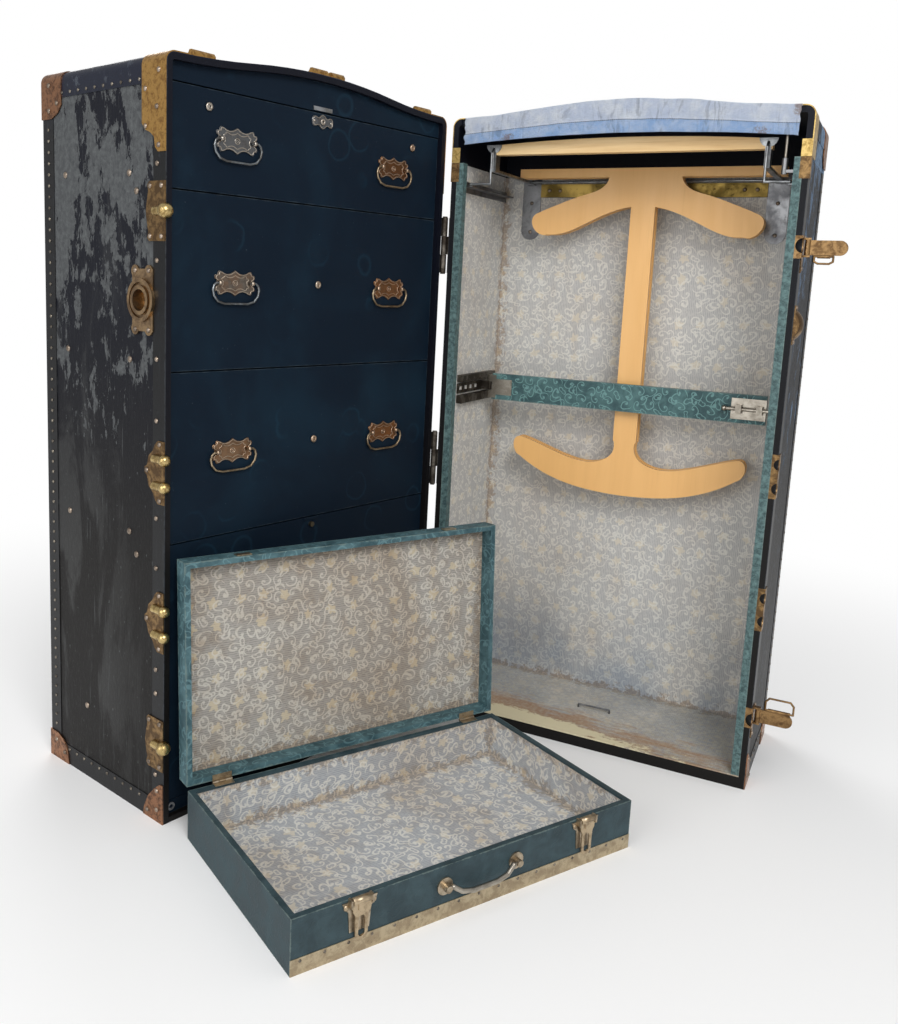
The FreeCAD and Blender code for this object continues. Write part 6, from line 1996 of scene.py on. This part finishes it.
@dataclass(frozen=True)
class Studio:
    """Camera, soft light and a plain pale floor that fades to white."""

    eye: tuple = (-1.0156, -1.1798, 0.7493)
    yaw: float = 49.22
    pitch: float = 9.17
    roll: float = 2.458
    focal_px: float = 974.7
    frame_px: tuple = (898, 1024)
    centre_px: tuple = (397.3, 440.8)
    sensor: float = 36.0
    floor_half: float = 30.0
    floor_middle: tuple = (0.1, -0.3, 0.0)
    fade_start: float = 0.75
    fade_end: float = 1.9
    floor_grey: float = 0.9
    surround: float = 0.55  # light that the surroundings give; the camera sees them at 1
    aim: tuple = (0.1, -0.3, 0.5)
    lamps: tuple = (  # name, place, width and watts
        ("key", (-1.6, -2.6, 2.6), 1.6, 75.0),
        ("fill", (-3.2, -0.2, 1.4), 2.2, 35.0),
        ("back", (1.9, 2.6, 2.2), 2.0, 45.0),
    )

    def camera(self) -> None:
        """Makes the camera from its place, directions and focal length."""
        yaw, pitch, roll = (math.radians(a) for a in (self.yaw, self.pitch, self.roll))
        across = math.cos(pitch)
        ahead = Vector((math.sin(yaw) * across, math.cos(yaw) * across, -math.sin(pitch)))
        level = Vector((math.cos(yaw), -math.sin(yaw), 0.0))
        above = level.cross(ahead)
        right = math.cos(roll) * level + math.sin(roll) * above
        up = -math.sin(roll) * level + math.cos(roll) * above
        data = bpy.data.cameras.new("camera")
        long_side = max(self.frame_px)
        data.sensor_width = self.sensor
        data.lens = self.focal_px / long_side * self.sensor
        data.shift_x = (self.frame_px[0] / 2 - self.centre_px[0]) / long_side
        data.shift_y = (self.centre_px[1] - self.frame_px[1] / 2) / long_side
        camera = new_object("camera", data)
        turn = Matrix((right, up, -ahead)).transposed().to_4x4()
        camera.matrix_world = Matrix.Translation(self.eye) @ turn
        bpy.context.scene.camera = camera

    def lamp(self, name: str, place: tuple, size: float, power: float) -> None:
        """Adds a square soft light that shines at the trunk's middle."""
        data = bpy.data.lights.new(name, "AREA")
        data.shape = "SQUARE"
        data.size = size
        data.energy = power
        lamp = new_object(name, data)
        lamp.location = place
        lamp.rotation_mode = "QUATERNION"
        lamp.rotation_quaternion = (Vector(place) - Vector(self.aim)).to_track_quat("Z", "Y")

    def world(self) -> None:
        """Plain white surroundings, brighter for the camera than for the light they give."""
        world = bpy.data.worlds.new("studio")
        bpy.context.scene.world = world
        g = blank_graph(world)
        strength = g.plus(self.surround, g.times(seen_itself(g), 1 - self.surround))
        back = g.add("ShaderNodeBackground", {"Color": WHITE, "Strength": strength})
        g.add("ShaderNodeOutputWorld", {"Surface": back.outputs[0]})

    def floor(self) -> None:
        """Pale floor that takes the shadow near the trunk and turns white farther out."""
        mesh = bmesh.new()
        bmesh.ops.create_grid(mesh, x_segments=1, y_segments=1, size=self.floor_half)
        data = bpy.data.meshes.new("floor")
        mesh.to_mesh(data)
        mesh.free()
        floor = new_object("floor", data)
        made = bpy.data.materials.new("floor")
        g = blank_graph(made)
        place = g.add("ShaderNodeTexCoord").outputs["Object"]
        away = g.vector("LENGTH", g.vector("SUBTRACT", place, self.floor_middle))
        fade = g.times(g.step(away, self.fade_start, self.fade_end), seen_itself(g))
        plain = g.add("ShaderNodeBsdfDiffuse", {"Color": (*[self.floor_grey] * 3, 1.0)})
        white = g.add("ShaderNodeEmission", {"Color": WHITE, "Strength": 1.0})
        both = g.add("ShaderNodeMixShader", {0: fade, 1: plain.outputs[0], 2: white.outputs[0]})
        g.add("ShaderNodeOutputMaterial", {"Surface": both.outputs[0]})
        data.materials.append(made)

    def build(self) -> None:
        """Makes the camera, lights, world and floor."""
        self.camera()
        for row in self.lamps:
            self.lamp(*row)
        self.world()
        self.floor()
        bpy.context.scene.view_settings.view_transform = "Standard"


def main() -> None:
    """Builds the studio and every sub-assembly in order."""
    logging.basicConfig(level=logging.INFO, format="%(name)s: %(message)s")
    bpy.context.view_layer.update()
    Studio().build()
    drawer, hanger = Station.drawer_half(), Station.hanger_half()
    case = FittedCase()
    base, lid = case.stations()
    dress_nodes(stations_of_bodies(drawer, hanger, base, lid))
    studs = StudTree().build()
    DrawerHalf(drawer).build(studs)
    HangerHalf(hanger).build(studs)
    Curtain(hanger).build()
    case.build(studs)


if __name__ == "__main__":
    main()
